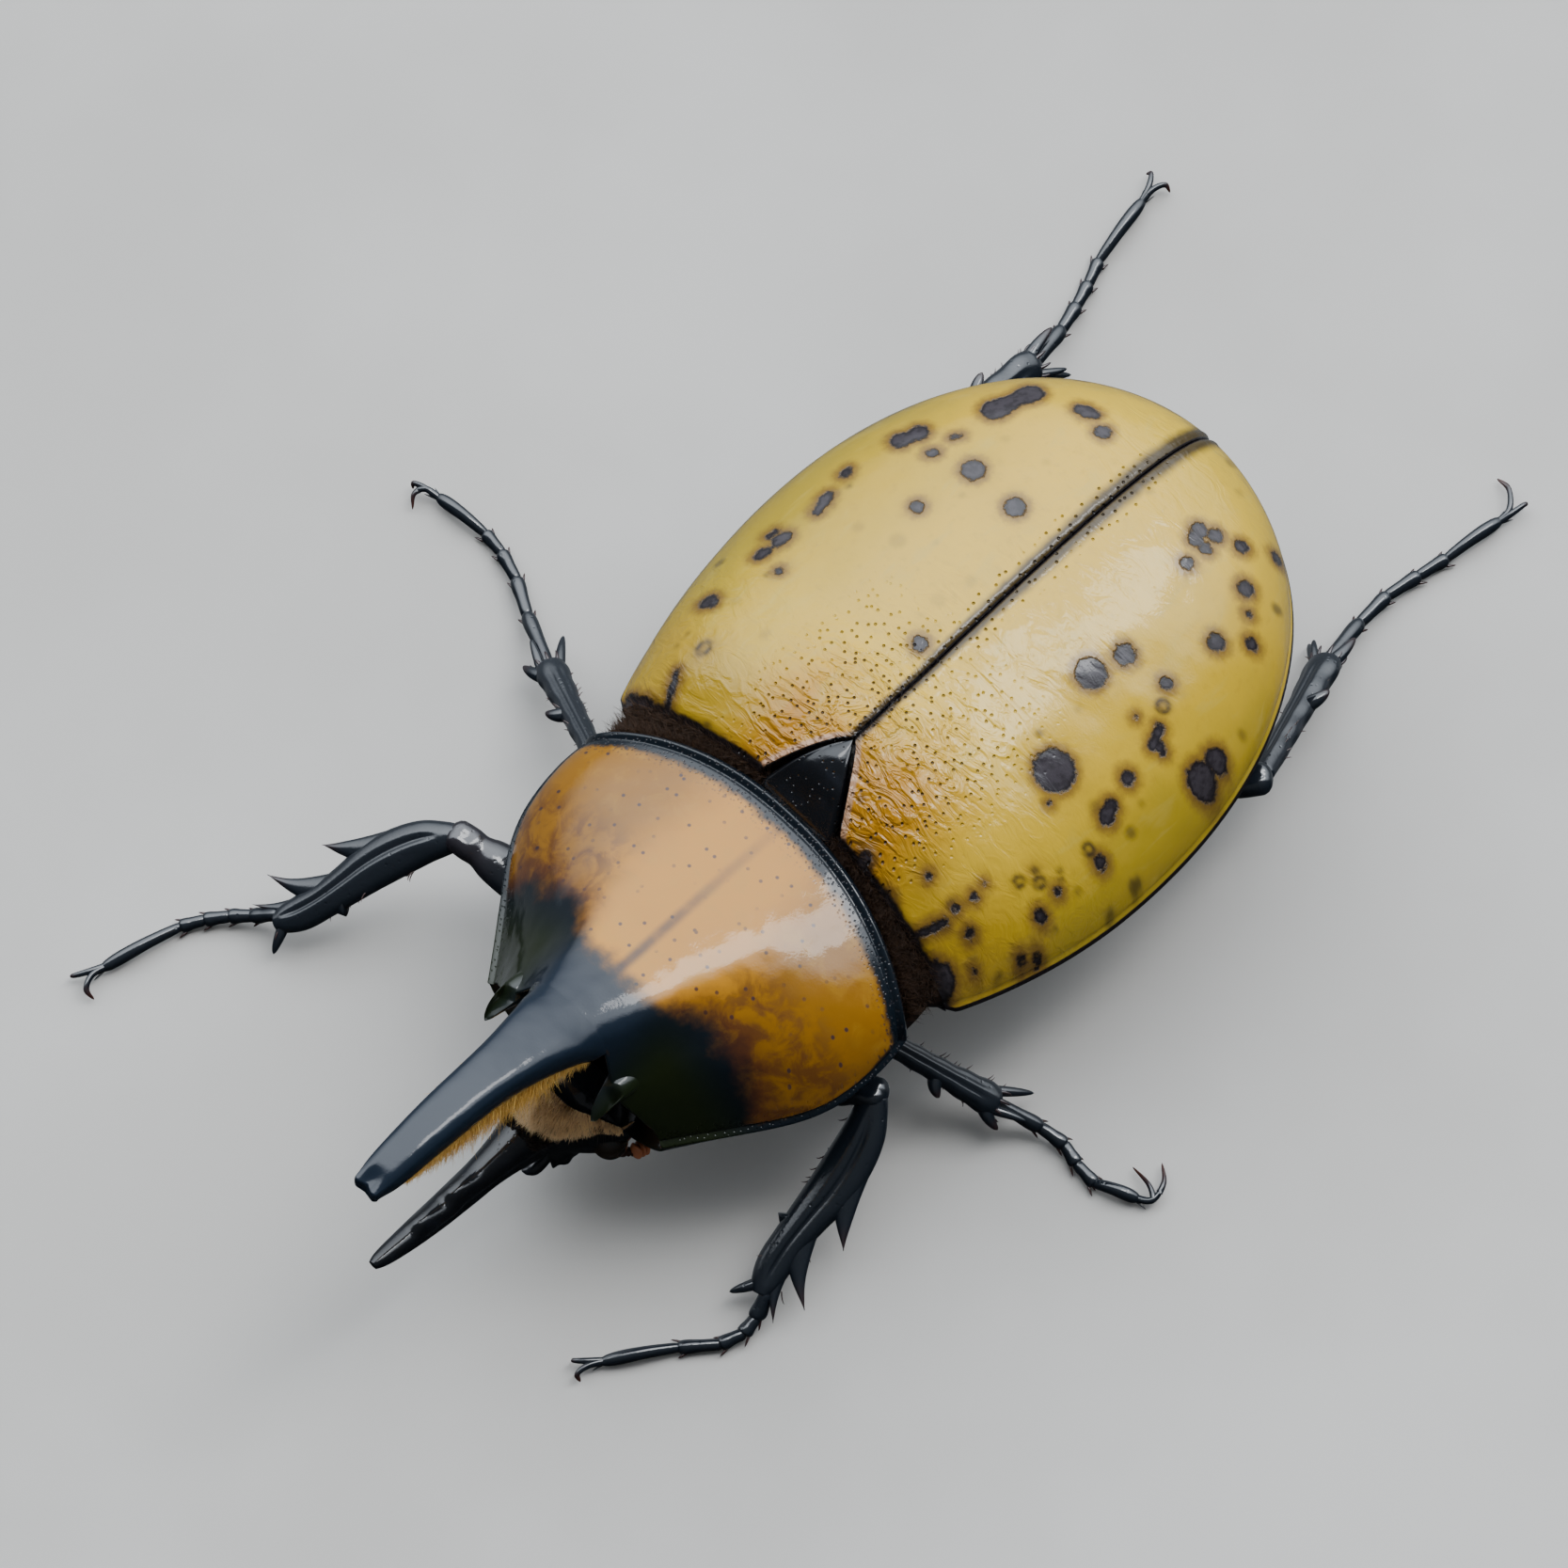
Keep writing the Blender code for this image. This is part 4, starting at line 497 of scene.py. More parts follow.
def inside_run(value, run):
    """1 inside a run and 0 beyond it, eased at both of its ends."""
    return eased(*run[0], value) * eased(*run[1], value)


def arch(ratio, power):
    """The height of a superellipse of unit size at this share of its half width."""
    return np.maximum(1.0 - np.abs(ratio) ** power, 0.0) ** (1.0 / power)


def bump(distance, width):
    """A smooth hill of height 1 at distance 0."""
    return np.exp(-(distance / width) ** 2)


def ridge(distance, height, place, width):
    """A smooth hill of this height at this place, or a groove where the height is negative."""
    return height * bump(distance - place, width)


def numbered(shape, closed=False):
    """The numbers of a grid's points; closed joins its last column to its first."""
    index = np.arange(math.prod(shape)).reshape(shape)
    return np.concatenate([index, index[..., :1]], -1) if closed else index


def quads_between(index):
    """The faces between the rows and columns of numbered points."""
    corners = (index[..., :-1, :-1], index[..., :-1, 1:], index[..., 1:, 1:], index[..., 1:, :-1])
    return np.stack(corners, -1).reshape(-1, 4)


def unit(vectors):
    vectors = np.asarray(vectors, float)
    return vectors / np.maximum(np.linalg.norm(vectors, axis=-1, keepdims=True), 1e-9)


class Shape:
    """Gathers grids of points into one mesh. Marks are numbers kept at each point for the material."""

    def __init__(self):
        self.points = []
        self.faces = {3: [], 4: []}
        self.marks = {}
        self.count = 0

    def add(self, points, faces, marks=None):
        points = np.asarray(points, float).reshape(-1, 3)
        for face in faces:
            self.faces[face.shape[1]].append(face + self.count)
        marks = marks or {}
        for name in set(marks) | set(self.marks):
            earlier = self.marks.setdefault(name, [np.zeros(self.count)])
            value = marks.get(name, 0.0)
            earlier.append(np.broadcast_to(np.asarray(value, float).reshape(-1), (len(points),)))
        self.points.append(points)
        self.count += len(points)

    def sheet(self, grid, closed=False, marks=None):
        """A grid of rows and columns; closed joins its last column to its first."""
        self.add(grid, [quads_between(numbered(grid.shape[:2], closed))], marks)

    def tube(self, rings, marks=None, ends=(True, True)):
        """A closed tube through the rings, each end closed by a fan to its middle."""
        rows, columns = rings.shape[:2]
        turned = numbered((rows, columns), True)
        points, faces = [rings.reshape(-1, 3)], [quads_between(turned)]
        marks = {name: np.broadcast_to(value, (rows, columns)).reshape(-1)
                 for name, value in (marks or {}).items()}
        added = rows * columns
        for at_end, wanted in zip((0, -1), ends):
            if not wanted:
                continue
            edge = turned[at_end]
            middle = np.full(columns, added)
            near, far = (edge[1:], edge[:-1]) if at_end == 0 else (edge[:-1], edge[1:])
            faces.append(np.stack((near, far, middle), -1))
            points.append(rings[at_end].mean(0)[None])
            marks = {name: np.append(value, value[edge[:-1]].mean()) for name, value in marks.items()}
            added += 1
        self.add(np.concatenate(points), faces, marks)

    def mesh(self, name):
        """The mesh in the frame's metres, with its marks."""
        mesh = bpy.data.meshes.new(name)
        points = np.concatenate(self.points) * MM + ORIGIN
        corners = [np.concatenate(self.faces[sides]) for sides in (3, 4) if self.faces[sides]]
        sizes = np.concatenate([np.full(len(block), block.shape[1]) for block in corners])
        loops = np.concatenate([block.reshape(-1) for block in corners])
        mesh.vertices.add(len(points))
        mesh.vertices.foreach_set("co", points.reshape(-1).astype(np.float32))
        mesh.loops.add(len(loops))
        mesh.loops.foreach_set("vertex_index", loops.astype(np.int32))
        mesh.polygons.add(len(sizes))
        starts = np.concatenate([[0], np.cumsum(sizes)[:-1]])
        mesh.polygons.foreach_set("loop_start", starts.astype(np.int32))
        mesh.update(calc_edges=True)
        for mark, parts in self.marks.items():
            layer = mesh.attributes.new(mark, "FLOAT", "POINT")
            layer.data.foreach_set("value", np.concatenate(parts).astype(np.float32))
        return mesh

    def piece(self, name, finish, replaced):
        """Make the object, hang it under the root and hide the model's parts that it replaces."""
        mesh = self.mesh(name)
        if self.count < JOIN_LIMIT:
            joined = bmesh.new()
            joined.from_mesh(mesh)
            bmesh.ops.remove_doubles(joined, verts=joined.verts, dist=JOIN_REACH * MM)
            bmesh.ops.recalc_face_normals(joined, faces=joined.faces)
            joined.to_mesh(mesh)
            joined.free()
        mesh.materials.append(finish)
        mesh.shade_smooth()
        made = in_scene(name, mesh)
        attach(made, "root")
        if replaced:
            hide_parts(*replaced)
        return made


def curve_points(path, count):
    """Evenly numbered points on a smooth curve through the path."""
    rows = np.column_stack([np.linspace(0.0, 1.0, len(path)), np.asarray(path, float)])
    return np.stack(columns_at(rows.tolist(), np.linspace(0.0, 1.0, count)), -1)


def limb(path, widths, depths, across, sides=24, swell=None):
    """Rings round a path; widths lie along the direction across. Swell scales rings by angle and place."""
    path, across = np.asarray(path, float), np.asarray(across, float)
    along = unit(np.gradient(path, axis=0))
    side = unit(across - (along @ across)[:, None] * along)
    upward = np.cross(along, side)
    angle = np.linspace(0.0, 2 * math.pi, sides, endpoint=False)[None]
    place = np.linspace(0.0, 1.0, len(path))[:, None]
    scale = np.ones((len(path), sides)) if swell is None else swell(angle, place)
    half_width, half_depth = (np.asarray(sizes, float)[:, None] / 2 for sizes in (widths, depths))
    offset = (side[:, None] * (half_width * np.cos(angle) * scale)[..., None]
              + upward[:, None] * (half_depth * np.sin(angle) * scale)[..., None])
    return path[:, None] + offset


def bowed_path(root, tip, bow, count):
    """Points from root to tip, and each one's share of the way, bowed at the middle."""
    root, tip, bow = (np.asarray(point, float) for point in (root, tip, bow))
    place = np.linspace(0.0, 1.0, count)[:, None]
    return root + (tip - root) * place + bow * (4 * place * (1 - place)), place


def thorn(root, tip, radius, bow, sides=10, count=10):
    """Rings of a tooth or claw from its sunken root to its tip."""
    path, place = bowed_path(root, tip, bow, count)
    width = 2 * radius * np.sqrt(np.maximum(1.0 - place[:, 0] ** THORN_POWER, THORN_TIP))
    return limb(path, width, width, np.cross(np.subtract(tip, root), THORN_SIDE), sides)


def ball(centre, radii, rings=24, sides=32):
    turn = np.linspace(-math.pi / 2, math.pi / 2, rings + 2)[1:-1, None]
    angle = np.linspace(0.0, 2 * math.pi, sides, endpoint=False)[None]
    unit_ball = np.stack([np.cos(turn) * np.cos(angle), np.cos(turn) * np.sin(angle),
                          np.broadcast_to(np.sin(turn), (rings, sides))], -1)
    return np.asarray(centre) + unit_ball * np.asarray(radii)


def mirrored(point, sign):
    return np.array([sign * point[0], point[1], point[2]])


def mirrored_curve(path, sign, count):
    return curve_points([mirrored(point, sign) for point in path], count)


def surface_normals(grid):
    across = np.gradient(grid, axis=1)
    down = np.gradient(grid, axis=0)
    return unit(np.cross(across, down))


def run_length(grid, axis):
    """The distance run along one way of a grid from its first row or column."""
    steps = np.linalg.norm(np.diff(grid, axis=axis), axis=-1)
    start = np.zeros_like(np.take(steps, [0], axis=axis))
    return np.concatenate([start, np.cumsum(steps, axis=axis)], axis=axis)


def spot_distance(x, y, start, end, radius):
    """The distance from the rim of a spot that runs between two ends and swells on its way."""
    run = np.subtract(end, start)
    length = max(run @ run, 1e-9)
    trim = min(SPOT_TRIM_LIMIT, SPOT_TRIM * radius / math.sqrt(length))
    aside, ahead = x - start[0], y - start[1]
    share = np.clip((aside * run[0] + ahead * run[1]) / length, trim, 1.0 - trim)
    swelling = 1 + SPOT_SWELLING * np.sin(SPOT_WAVES * share + SPOT_PHASE * start[0])
    return np.hypot(aside - share * run[0], ahead - share * run[1]) - radius * swelling


def wing_half_width(y):
    beyond = np.maximum(y - WING_WIDEST_Y, 0.0) / (WING_APEX_Y - WING_WIDEST_Y)
    reach = WING_WIDEST_Y - WING_BASE_Y + WING_BASE_SWEEP
    before = np.maximum(WING_WIDEST_Y - y, 0.0) / reach
    taper = (1 - WING_BASE_HALF_WIDTH / WING_HALF_WIDTH) * before**2
    return WING_HALF_WIDTH * (1 - taper) * arch(np.minimum(beyond, 1.0), WING_PLAN_POWER)


def wing_rim_z(y):
    before = np.maximum(WING_LEVEL_Y - y, 0.0) / WING_SHOULDER_REACH
    after = np.maximum(y - WING_LEVEL_Y, 0.0) / (WING_APEX_Y - WING_LEVEL_Y)
    return WING_RIM_Z + WING_SHOULDER_RISE * before**1.5 - WING_APEX_FALL * after**2


def wing_crown_z(y):
    fall = arch(np.clip((y - WING_LEVEL_Y) / (WING_APEX_Y - WING_LEVEL_Y), 0.0, 1.0), WING_END_POWER)
    rim = wing_rim_z(y)
    behind = rim + (WING_CROWN_Z - WING_RIM_Z) * fall + (WING_RIM_Z - rim) * fall
    return np.where(y < WING_LEVEL_Y, tabled(WING_FRONT_CROWN, y), behind)


def scutellum_half_width(y):
    share = np.clip((SCUTELLUM_TIP_Y - y) / (SCUTELLUM_TIP_Y - SCUTELLUM_BASE_Y), 0.0, 1.0)
    return SCUTELLUM_HALF_WIDTH * share**SCUTELLUM_POWER


def wing_inner_x(y):
    return np.maximum(SUTURE_HALF_GAP, scutellum_half_width(y) + SCUTELLUM_CLEARANCE * eased(0.4, -0.4, y))


def wing_surface(x, y):
    half = np.maximum(wing_half_width(y), 1e-6)
    rim = wing_rim_z(y)
    return rim + (wing_crown_z(y) - rim) * arch(np.minimum(np.abs(x) / half, 1.0), WING_SECTION_POWER)


def wing_grid(columns, rows):
    """Points of the left wing case: columns from the suture to the rim, rows from the base to the apex."""
    turn = np.linspace(0.0, math.pi / 2, rows + 1)[:-1, None]
    station = WING_BASE_Y + (WING_APEX_Y - WING_BASE_Y) * np.sin(turn)
    across = np.linspace(0.0, 1.0, columns)[None]
    share = 2 / WING_SECTION_POWER
    weight = 1 - eased(WING_BASE_Y, WING_BASE_Y + WING_BASE_BEND, station)
    y = station + 0 * across
    for _ in range(4):
        half = wing_half_width(y)
        inner = np.minimum(wing_inner_x(y), half)
        start = np.arcsin(np.minimum((inner / np.maximum(half, 1e-6)) ** (1 / share), 1.0))
        angle = start + (math.pi / 2 - start) * across
        x = np.maximum(half * np.sin(angle) ** share, SUTURE_HALF_GAP)
        y = station - weight * WING_BASE_SWEEP * (x / WING_BASE_HALF_WIDTH) ** 2
    return np.stack([x, y, wing_surface(np.minimum(x, half), y)], -1)


def wing_marks(x, y, side):
    """Distances and weights that the wing-case material reads."""
    sign = SIDES[side]
    nearest = np.full(x.shape, FAR)
    pale = np.zeros(x.shape)
    halo = np.zeros(x.shape)
    for *ends, radius, darkness in RIGHT_SPOTS if side == "right" else LEFT_SPOTS:
        distance = spot_distance(x, y, ends[:2], ends[-2:], radius)
        if darkness < DARK_SPOT:
            pale = np.maximum(pale, darkness * eased(*PALE_SPOT_EDGE, distance))
        else:
            nearest = np.minimum(nearest, distance)
    for ring_x, ring_y, radius in RING_SPOTS:
        if ring_x * sign > 0:
            distance = np.hypot(x - ring_x, y - ring_y)
            pale = np.maximum(pale, ridge(distance, RING_DARKNESS, radius, RING_WIDTH))
    for halo_x, halo_y, radius in HALOS:
        if halo_x * sign > 0:
            halo = np.maximum(halo, bump(np.hypot(x - halo_x, y - halo_y), radius))
    return {"spot": nearest, "pale_spot": pale, "halo": halo}


def wing_relief(grid, from_suture, from_rim, from_base):
    """How far each point of a wing case is lifted, by its lips, beads, grooves and low swellings."""
    beside_scutellum = eased(0.6, -0.6, grid[..., 1])
    lift = beside_scutellum * ridge(from_suture, *SEAM_LIP)
    lift += (1 - beside_scutellum) * (ridge(from_suture, *SEAM_GROOVE) + ridge(from_suture, *SEAM_RIDGE))
    lift += ridge(from_rim, *RIM_BEAD) + ridge(from_rim, *RIM_GROOVE) + ridge(from_base, *BASE_FALL)
    for x, wide, y, long, height in WING_BOSSES:
        lift += height * bump(grid[..., 0] - x, wide) * bump(grid[..., 1] - y, long)
    return lift


def make_wing_case(side, finish):
    """One wing case with its rolled rim, its raised lip beside the scutellum and its turned-down base."""
    sign = SIDES[side]
    grid = wing_grid(*WING_GRID)
    normals = surface_normals(grid)
    normals *= np.sign(normals[..., 2:3] + 1e-9)
    from_suture = run_length(grid, 1)
    from_rim = from_suture[:, -1:] - from_suture
    from_base = run_length(grid, 0)
    grid = grid + normals * wing_relief(grid, from_suture, from_rim, from_base)[..., None]

    edge = grid[:, -1]
    rear_turn = eased(*WING_REAR_TURN, edge[:, 1])[:, None]
    outward = unit((1 - rear_turn) * np.array([1.0, 0.0, 0.0]) + rear_turn * np.array(WING_REAR_WAY))
    roll = []
    for out, down in WING_ROLL:
        point = edge + outward * out - np.array([0.0, 0.0, down])
        point[:, 0] = np.maximum(point[:, 0], SUTURE_HALF_GAP)
        roll.append(point)
    wall = [grid[:, 0] - np.array([0.0, 0.0, down]) for down in WING_WALL]
    grid = np.concatenate([np.stack(wall, 1), grid, np.stack(roll, 1)], 1)
    front = grid[0]
    depth = (1 - (1 - WING_CORNER_DEPTH) * eased(*WING_CORNER, front[:, 0]))[:, None]
    face = [front + np.array([0.0, -ahead, -down]) * depth for ahead, down in WING_FRONT]
    grid = np.concatenate([np.stack(face), grid], 0)

    added = ((len(face), 0), (len(wall), len(roll)))
    base, rim, seam = (np.pad(distance, added, mode="edge")
                       for distance in (from_base, from_rim, from_suture))
    base[:len(face)] = 0.0
    rim[:, -len(roll):] = 0.0
    x, y = sign * grid[..., 0], grid[..., 1]
    marks = wing_marks(x, y, side)
    sideways = sign * x / WING_HALF_WIDTH + (RIGHT_WING_SHIFT if side == "right" else 0.0)
    marks.update({"base": base, "rim": rim, "suture": seam, "sideways": sideways, "along": y})
    shape = Shape()
    shape.sheet(grid * np.array([sign, 1.0, 1.0]), marks=marks)
    return shape.piece(f"wing_case_{side}", finish, [f"elytron_{side}"])


def make_scutellum(finish):
    """A small glossy shield, raised at its rim and sunk at its base, with a skirt into the cleft."""
    rows, columns = SCUTELLUM_GRID
    share = np.linspace(-0.04, 1.0, rows)[:, None]
    across = np.linspace(-1.0, 1.0, columns)[None]
    y = SCUTELLUM_BASE_Y + (SCUTELLUM_TIP_Y - SCUTELLUM_BASE_Y) * share + 0 * across
    x = scutellum_half_width(y[:, :1]) * across
    crown = wing_surface(x, y) - SCUTELLUM_SUNK - SCUTELLUM_EDGE_FALL * np.abs(across) ** 10
    crown += SCUTELLUM_DOME * arch(across, 1.9) * eased(1.06, 0.6, share)
    crown += ridge(np.abs(across), 0.12, 0.86, 0.1) * eased(1.0, 0.8, share)
    grid = np.stack([x, y, crown - SCUTELLUM_BASE_FALL * eased(0.45, -0.05, share)], -1)
    below = grid - np.array([0.0, 0.0, SCUTELLUM_THICKNESS])
    shape = Shape()
    shape.sheet(np.concatenate([below[:, :1], grid, below[:, -1:]], 1))
    skirt = np.stack([grid[0] + np.array([0.0, -ahead, -down]) for ahead, down in SCUTELLUM_SKIRT])
    shape.sheet(skirt)
    return shape.piece("scutellum_plate", finish, ["scutellum"])


def belly_ring(y, angle):
    """Rings of the hind body under the wing cases, for a column of y and a row of angles."""
    half = np.maximum(wing_half_width(y) - BODY_INSET * eased(*BELLY_INSET_RUN, y), 0.3)
    rim = wing_rim_z(y)
    rise = np.maximum(wing_crown_z(y) - BODY_INSET - rim, 0.1)
    beyond = np.maximum(y - WING_WIDEST_Y, 0.0) / (WING_APEX_Y - BODY_INSET - WING_WIDEST_Y)
    drop = tabled(BELLY_DROP, y) * arch(np.minimum(beyond, 1.0), BELLY_PLAN_POWER)
    cosine, sine = np.cos(angle), np.sin(angle)
    share = 2 / WING_SECTION_POWER
    upper_x = half * np.sign(cosine) * np.abs(cosine) ** share
    upper_z = rim + rise * np.abs(sine) ** share
    lower_z = rim - drop * arch(cosine, tabled(BELLY_POWER, y))
    x = np.where(sine >= 0, upper_x, half * cosine)
    z = np.where(sine >= 0, upper_z, lower_z)
    return np.stack([x, y + 0 * angle, z], -1)


def hip_shapes(shape, name):
    """The hip ball of one leg and the cone that sinks it into the body."""
    hip = np.array(LEGS[name]["hip"])
    inside = np.array([HIP_INWARD * hip[0], hip[1], hip[2] + HIP_RISE])
    path = curve_points((hip, (hip + inside) / 2, inside), 10)
    width, wide, depth, deep = HIP_CONE
    shape.tube(limb(path, np.linspace(width, wide, 10), np.linspace(depth, deep, 10), (1, 0, 0), 28))
    shape.tube(ball(hip, (HIP_RADIUS + HIP_SLEEVE,) * 3))


def make_hind_body(finish):
    """Chest and abdomen as one skin, with the belly's overlapping plates."""
    angle = np.linspace(0.0, 2 * math.pi, 120, endpoint=False)[None]
    end = WING_APEX_Y - BODY_INSET
    y = np.concatenate([np.linspace(-3.9, WAIST_Y - 0.2, 50), np.linspace(WAIST_Y - 0.1, end - 0.05, 150)])
    rings = belly_ring(y[:, None], angle)
    segment = (end - WAIST_Y) / STERNITE_COUNT
    place = np.mod((rings[..., 1] - WAIST_Y) / segment, 1.0)
    low = (rings[..., 2] < wing_rim_z(rings[..., 1]) - 1.2) & (rings[..., 1] > WAIST_Y)
    plate = STERNITE_STEP * (place - STERNITE_NOTCH * eased(*STERNITE_EDGE, place))
    rings[..., 2] -= np.where(low, plate, 0.0)
    neck = []
    for share, ahead in NECK_ROWS:
        ring = rings[0].copy()
        ring[:, 0] *= share
        ring[:, 2] = NECK_Z + (ring[:, 2] - NECK_Z) * share * NECK_RISE
        ring[:, 1] -= ahead + (ring[:, 0] / WING_BASE_HALF_WIDTH) ** 2
        neck.append(ring)
    shape = Shape()
    shape.tube(np.concatenate([np.stack(neck), rings]))
    for name in LEGS:
        if not name.startswith("front"):
            hip_shapes(shape, name)
    return shape.piece("hind_body", finish, ["thorax_rear", "abdomen"])


def shield_rear_y(x):
    return NECK_Y - NECK_SWEEP * (np.abs(x) / NECK_SWEEP_HALF_WIDTH) ** NECK_SWEEP_POWER


def shield_rings(station, angle):
    """Rings of the prothorax for a column of stations and a row of angles."""
    bend = 1 - eased(NECK_Y, NECK_Y - NECK_BEND, station)
    cosine, sine = np.cos(angle), np.sin(angle)
    y = station + 0 * angle
    for _ in range(4):
        half = tabled(SHIELD_HALF_WIDTH, y)
        x = half * np.sign(cosine) * np.abs(cosine) ** (2 / SHIELD_DOME_POWER)
        y = station + bend * (shield_rear_y(x) - NECK_Y)
    ratio = np.minimum(np.abs(x) / half, 1.0)
    margin = tabled(SHIELD_MARGIN_Z, y)
    hollow = eased(HOLLOW_START_Y, FRONT_Y, y)
    share = (1 - hollow) * arch(ratio, SHIELD_DOME_POWER) + hollow * tabled(SHIELD_FRONT_PROFILE, ratio)
    upper = margin + (tabled(SHIELD_CROWN_Z, y) - margin) * share
    lower = margin - tabled(STERNUM_DROP, y) * arch(ratio, tabled(STERNUM_POWER, y))
    return np.stack([x, y, np.where(sine >= 0, upper, lower)], -1)


def horn_points(y, angle):
    """Points on the thoracic horn, whose top is flattened; its tip is notched between two points."""
    half, top, depth = columns_at(HORN_STATIONS, y)
    cosine, sine = np.cos(angle), np.sin(angle)
    flat = eased(FRONT_Y, -25.0, y) * (sine > 0)
    x = half * np.sign(cosine) * np.abs(cosine) ** (2 / (HORN_POWER + (HORN_FLAT_POWER - HORN_POWER) * flat))
    power = np.where(sine > 0, 2 / HORN_TOP_POWER, 2 / HORN_POWER)
    z = top - depth / 2 + depth / 2 * np.sign(sine) * np.abs(sine) ** power
    edge_line = bump(np.abs(angle - math.pi / 2) - HORN_EDGE_TURN, 0.16) * eased(FRONT_Y, -24.0, y)
    z = z + HORN_EDGE_HEIGHT * edge_line
    nearness = eased(-34.6, HORN_TIP_Y, y)
    share = np.minimum(np.abs(x) / half, 1.0)
    centre = 1 - share**1.3
    y = y + (HORN_NOTCH * 1.15 * centre + HORN_CORNER * share**4) * nearness
    return np.stack([x, y + 0 * angle, z - 0.3 * centre * nearness * (sine > 0)], -1)


def shield_angles():
    """Angles round the prothorax from its left margin over the top, closest at the margins."""
    place = np.linspace(0.0, 1.0, SHIELD_TOP_COLUMNS, endpoint=False)
    upper = math.pi * (place - SHIELD_CROWD / (2 * math.pi) * np.sin(2 * math.pi * place))
    lower = math.pi + math.pi * np.linspace(0.0, 1.0, SHIELD_LOW_COLUMNS, endpoint=False)
    return np.concatenate([upper, lower])[None]


def smoothed(grid, first, last, passes):
    """Even out the rows between first and last along their run, so that two shapes flow together."""
    for _ in range(passes):
        middle = (grid[first - 1:last - 1] + 2 * grid[first:last] + grid[first + 1:last + 1]) / 4
        grid[first:last] = middle
    return grid


def shield_shell(angle, top):
    """Rings of the prothorax with its bead and groove, and each point's distance from the nearest edge."""
    stations = np.concatenate([np.linspace(NECK_Y, -5.9, 30), np.linspace(-6.05, FRONT_Y, 100)])[:, None]
    rings = shield_rings(stations, angle)
    normals = surface_normals(rings)
    outward = rings - rings.mean(1, keepdims=True)
    normals *= np.sign((normals * outward).sum(-1, keepdims=True))
    around = run_length(rings[:, :SHIELD_TOP_COLUMNS + 1], 1)
    from_side = np.minimum(around, around[:, -1:] - around)[:, :-1]
    from_side = np.pad(from_side, ((0, 0), (0, SHIELD_LOW_COLUMNS)))
    steps = np.arange(SHIELD_LOW_COLUMNS)
    below = np.minimum(steps, SHIELD_LOW_COLUMNS - steps) * UNDER_STEP
    below = np.pad(below, (SHIELD_TOP_COLUMNS, 0))[None]
    from_edge = np.where(top, np.minimum(from_side, run_length(rings, 0)), FAR)
    lift = ridge(from_edge, *SHIELD_BEAD) + ridge(from_edge, *SHIELD_GROOVE)
    lift += np.where(top, 0.0, ridge(below, *UNDER_BEAD))
    rings = rings + normals * lift[..., None]
    x, width = MARGIN_PLACE
    forward = bump(np.abs(rings[..., 0]) - x, width) * eased(*MARGIN_Z, rings[..., 2]) * top
    rings[..., 1] -= MARGIN_REACH * forward * eased(MARGIN_START_Y, FRONT_Y, stations)
    return rings, from_edge


def shield_rear(ring):
    """Rows that turn the prothorax's rear margin in, ahead of its first ring."""
    rows = []
    for share, ahead in SHIELD_REAR:
        row = ring.copy()
        row[:, 2] = SHIELD_REAR_Z + (row[:, 2] - SHIELD_REAR_Z) * share
        row[:, 0] *= share
        row[:, 1] = shield_rear_y(row[:, 0]) - ahead
        rows.append(row)
    return np.stack(rows)


def thoracic_horn(root):
    """Rings of the thoracic horn, which grows out of the front margin's points at its root."""
    upper_turn = np.linspace(-HORN_WRAP, math.pi + HORN_WRAP, len(root))
    lower_turn = np.linspace(math.pi + HORN_WRAP, 2 * math.pi - HORN_WRAP, HORN_LOWER_POINTS + 2)[1:-1]
    turn = np.concatenate([upper_turn, lower_turn])
    rows = [np.concatenate([root, horn_points(np.full(HORN_LOWER_POINTS, FRONT_Y), lower_turn)])]
    share = np.linspace(0.0, 1.0, 61)[1:-1]
    for y, weight in zip(FRONT_Y + (HORN_START_Y - FRONT_Y) * share, eased(0.0, 1.0, share)):
        ahead = root + np.array([0.0, 1.0, HORN_ROOT_SLOPE]) * (y - FRONT_Y)
        upper = ahead * (1 - weight) + horn_points(np.full(len(root), y), upper_turn) * weight
        rows.append(np.concatenate([upper, horn_points(np.full(HORN_LOWER_POINTS, y), lower_turn)]))
    tip_y = np.concatenate([np.linspace(HORN_START_Y, -35.0, 90), np.linspace(-35.1, HORN_TIP_Y, 24)])
    horn = np.concatenate([np.stack(rows), horn_points(tip_y[:, None], turn[None])])
    horn = smoothed(horn, *HORN_SMOOTH_ROWS, HORN_SMOOTH_PASSES)
    middle = horn[-1].mean(0)
    tip = []
    for share in HORN_TIP_SHARES:
        ring = middle + (horn[-1] - middle) * np.array([1.0, 1.0, share])
        ring[:, 1] -= HORN_TIP_ROUND * math.sqrt(1 - share**2)
        tip.append(ring)
    return np.concatenate([horn, np.stack(tip)])


def shield_lip(rim):
    """Rows from the rim of the prothorax's front opening into its cavity."""
    centre = np.array([0.0, FRONT_Y, CAVITY_CENTRE_Z])
    rows = [rim]
    for ahead, share in LIP:
        row = centre + (rim - centre) * np.array([share, 1.0, share])
        row[:, 1] += ahead
        rows.append(row)
    return np.stack(rows)


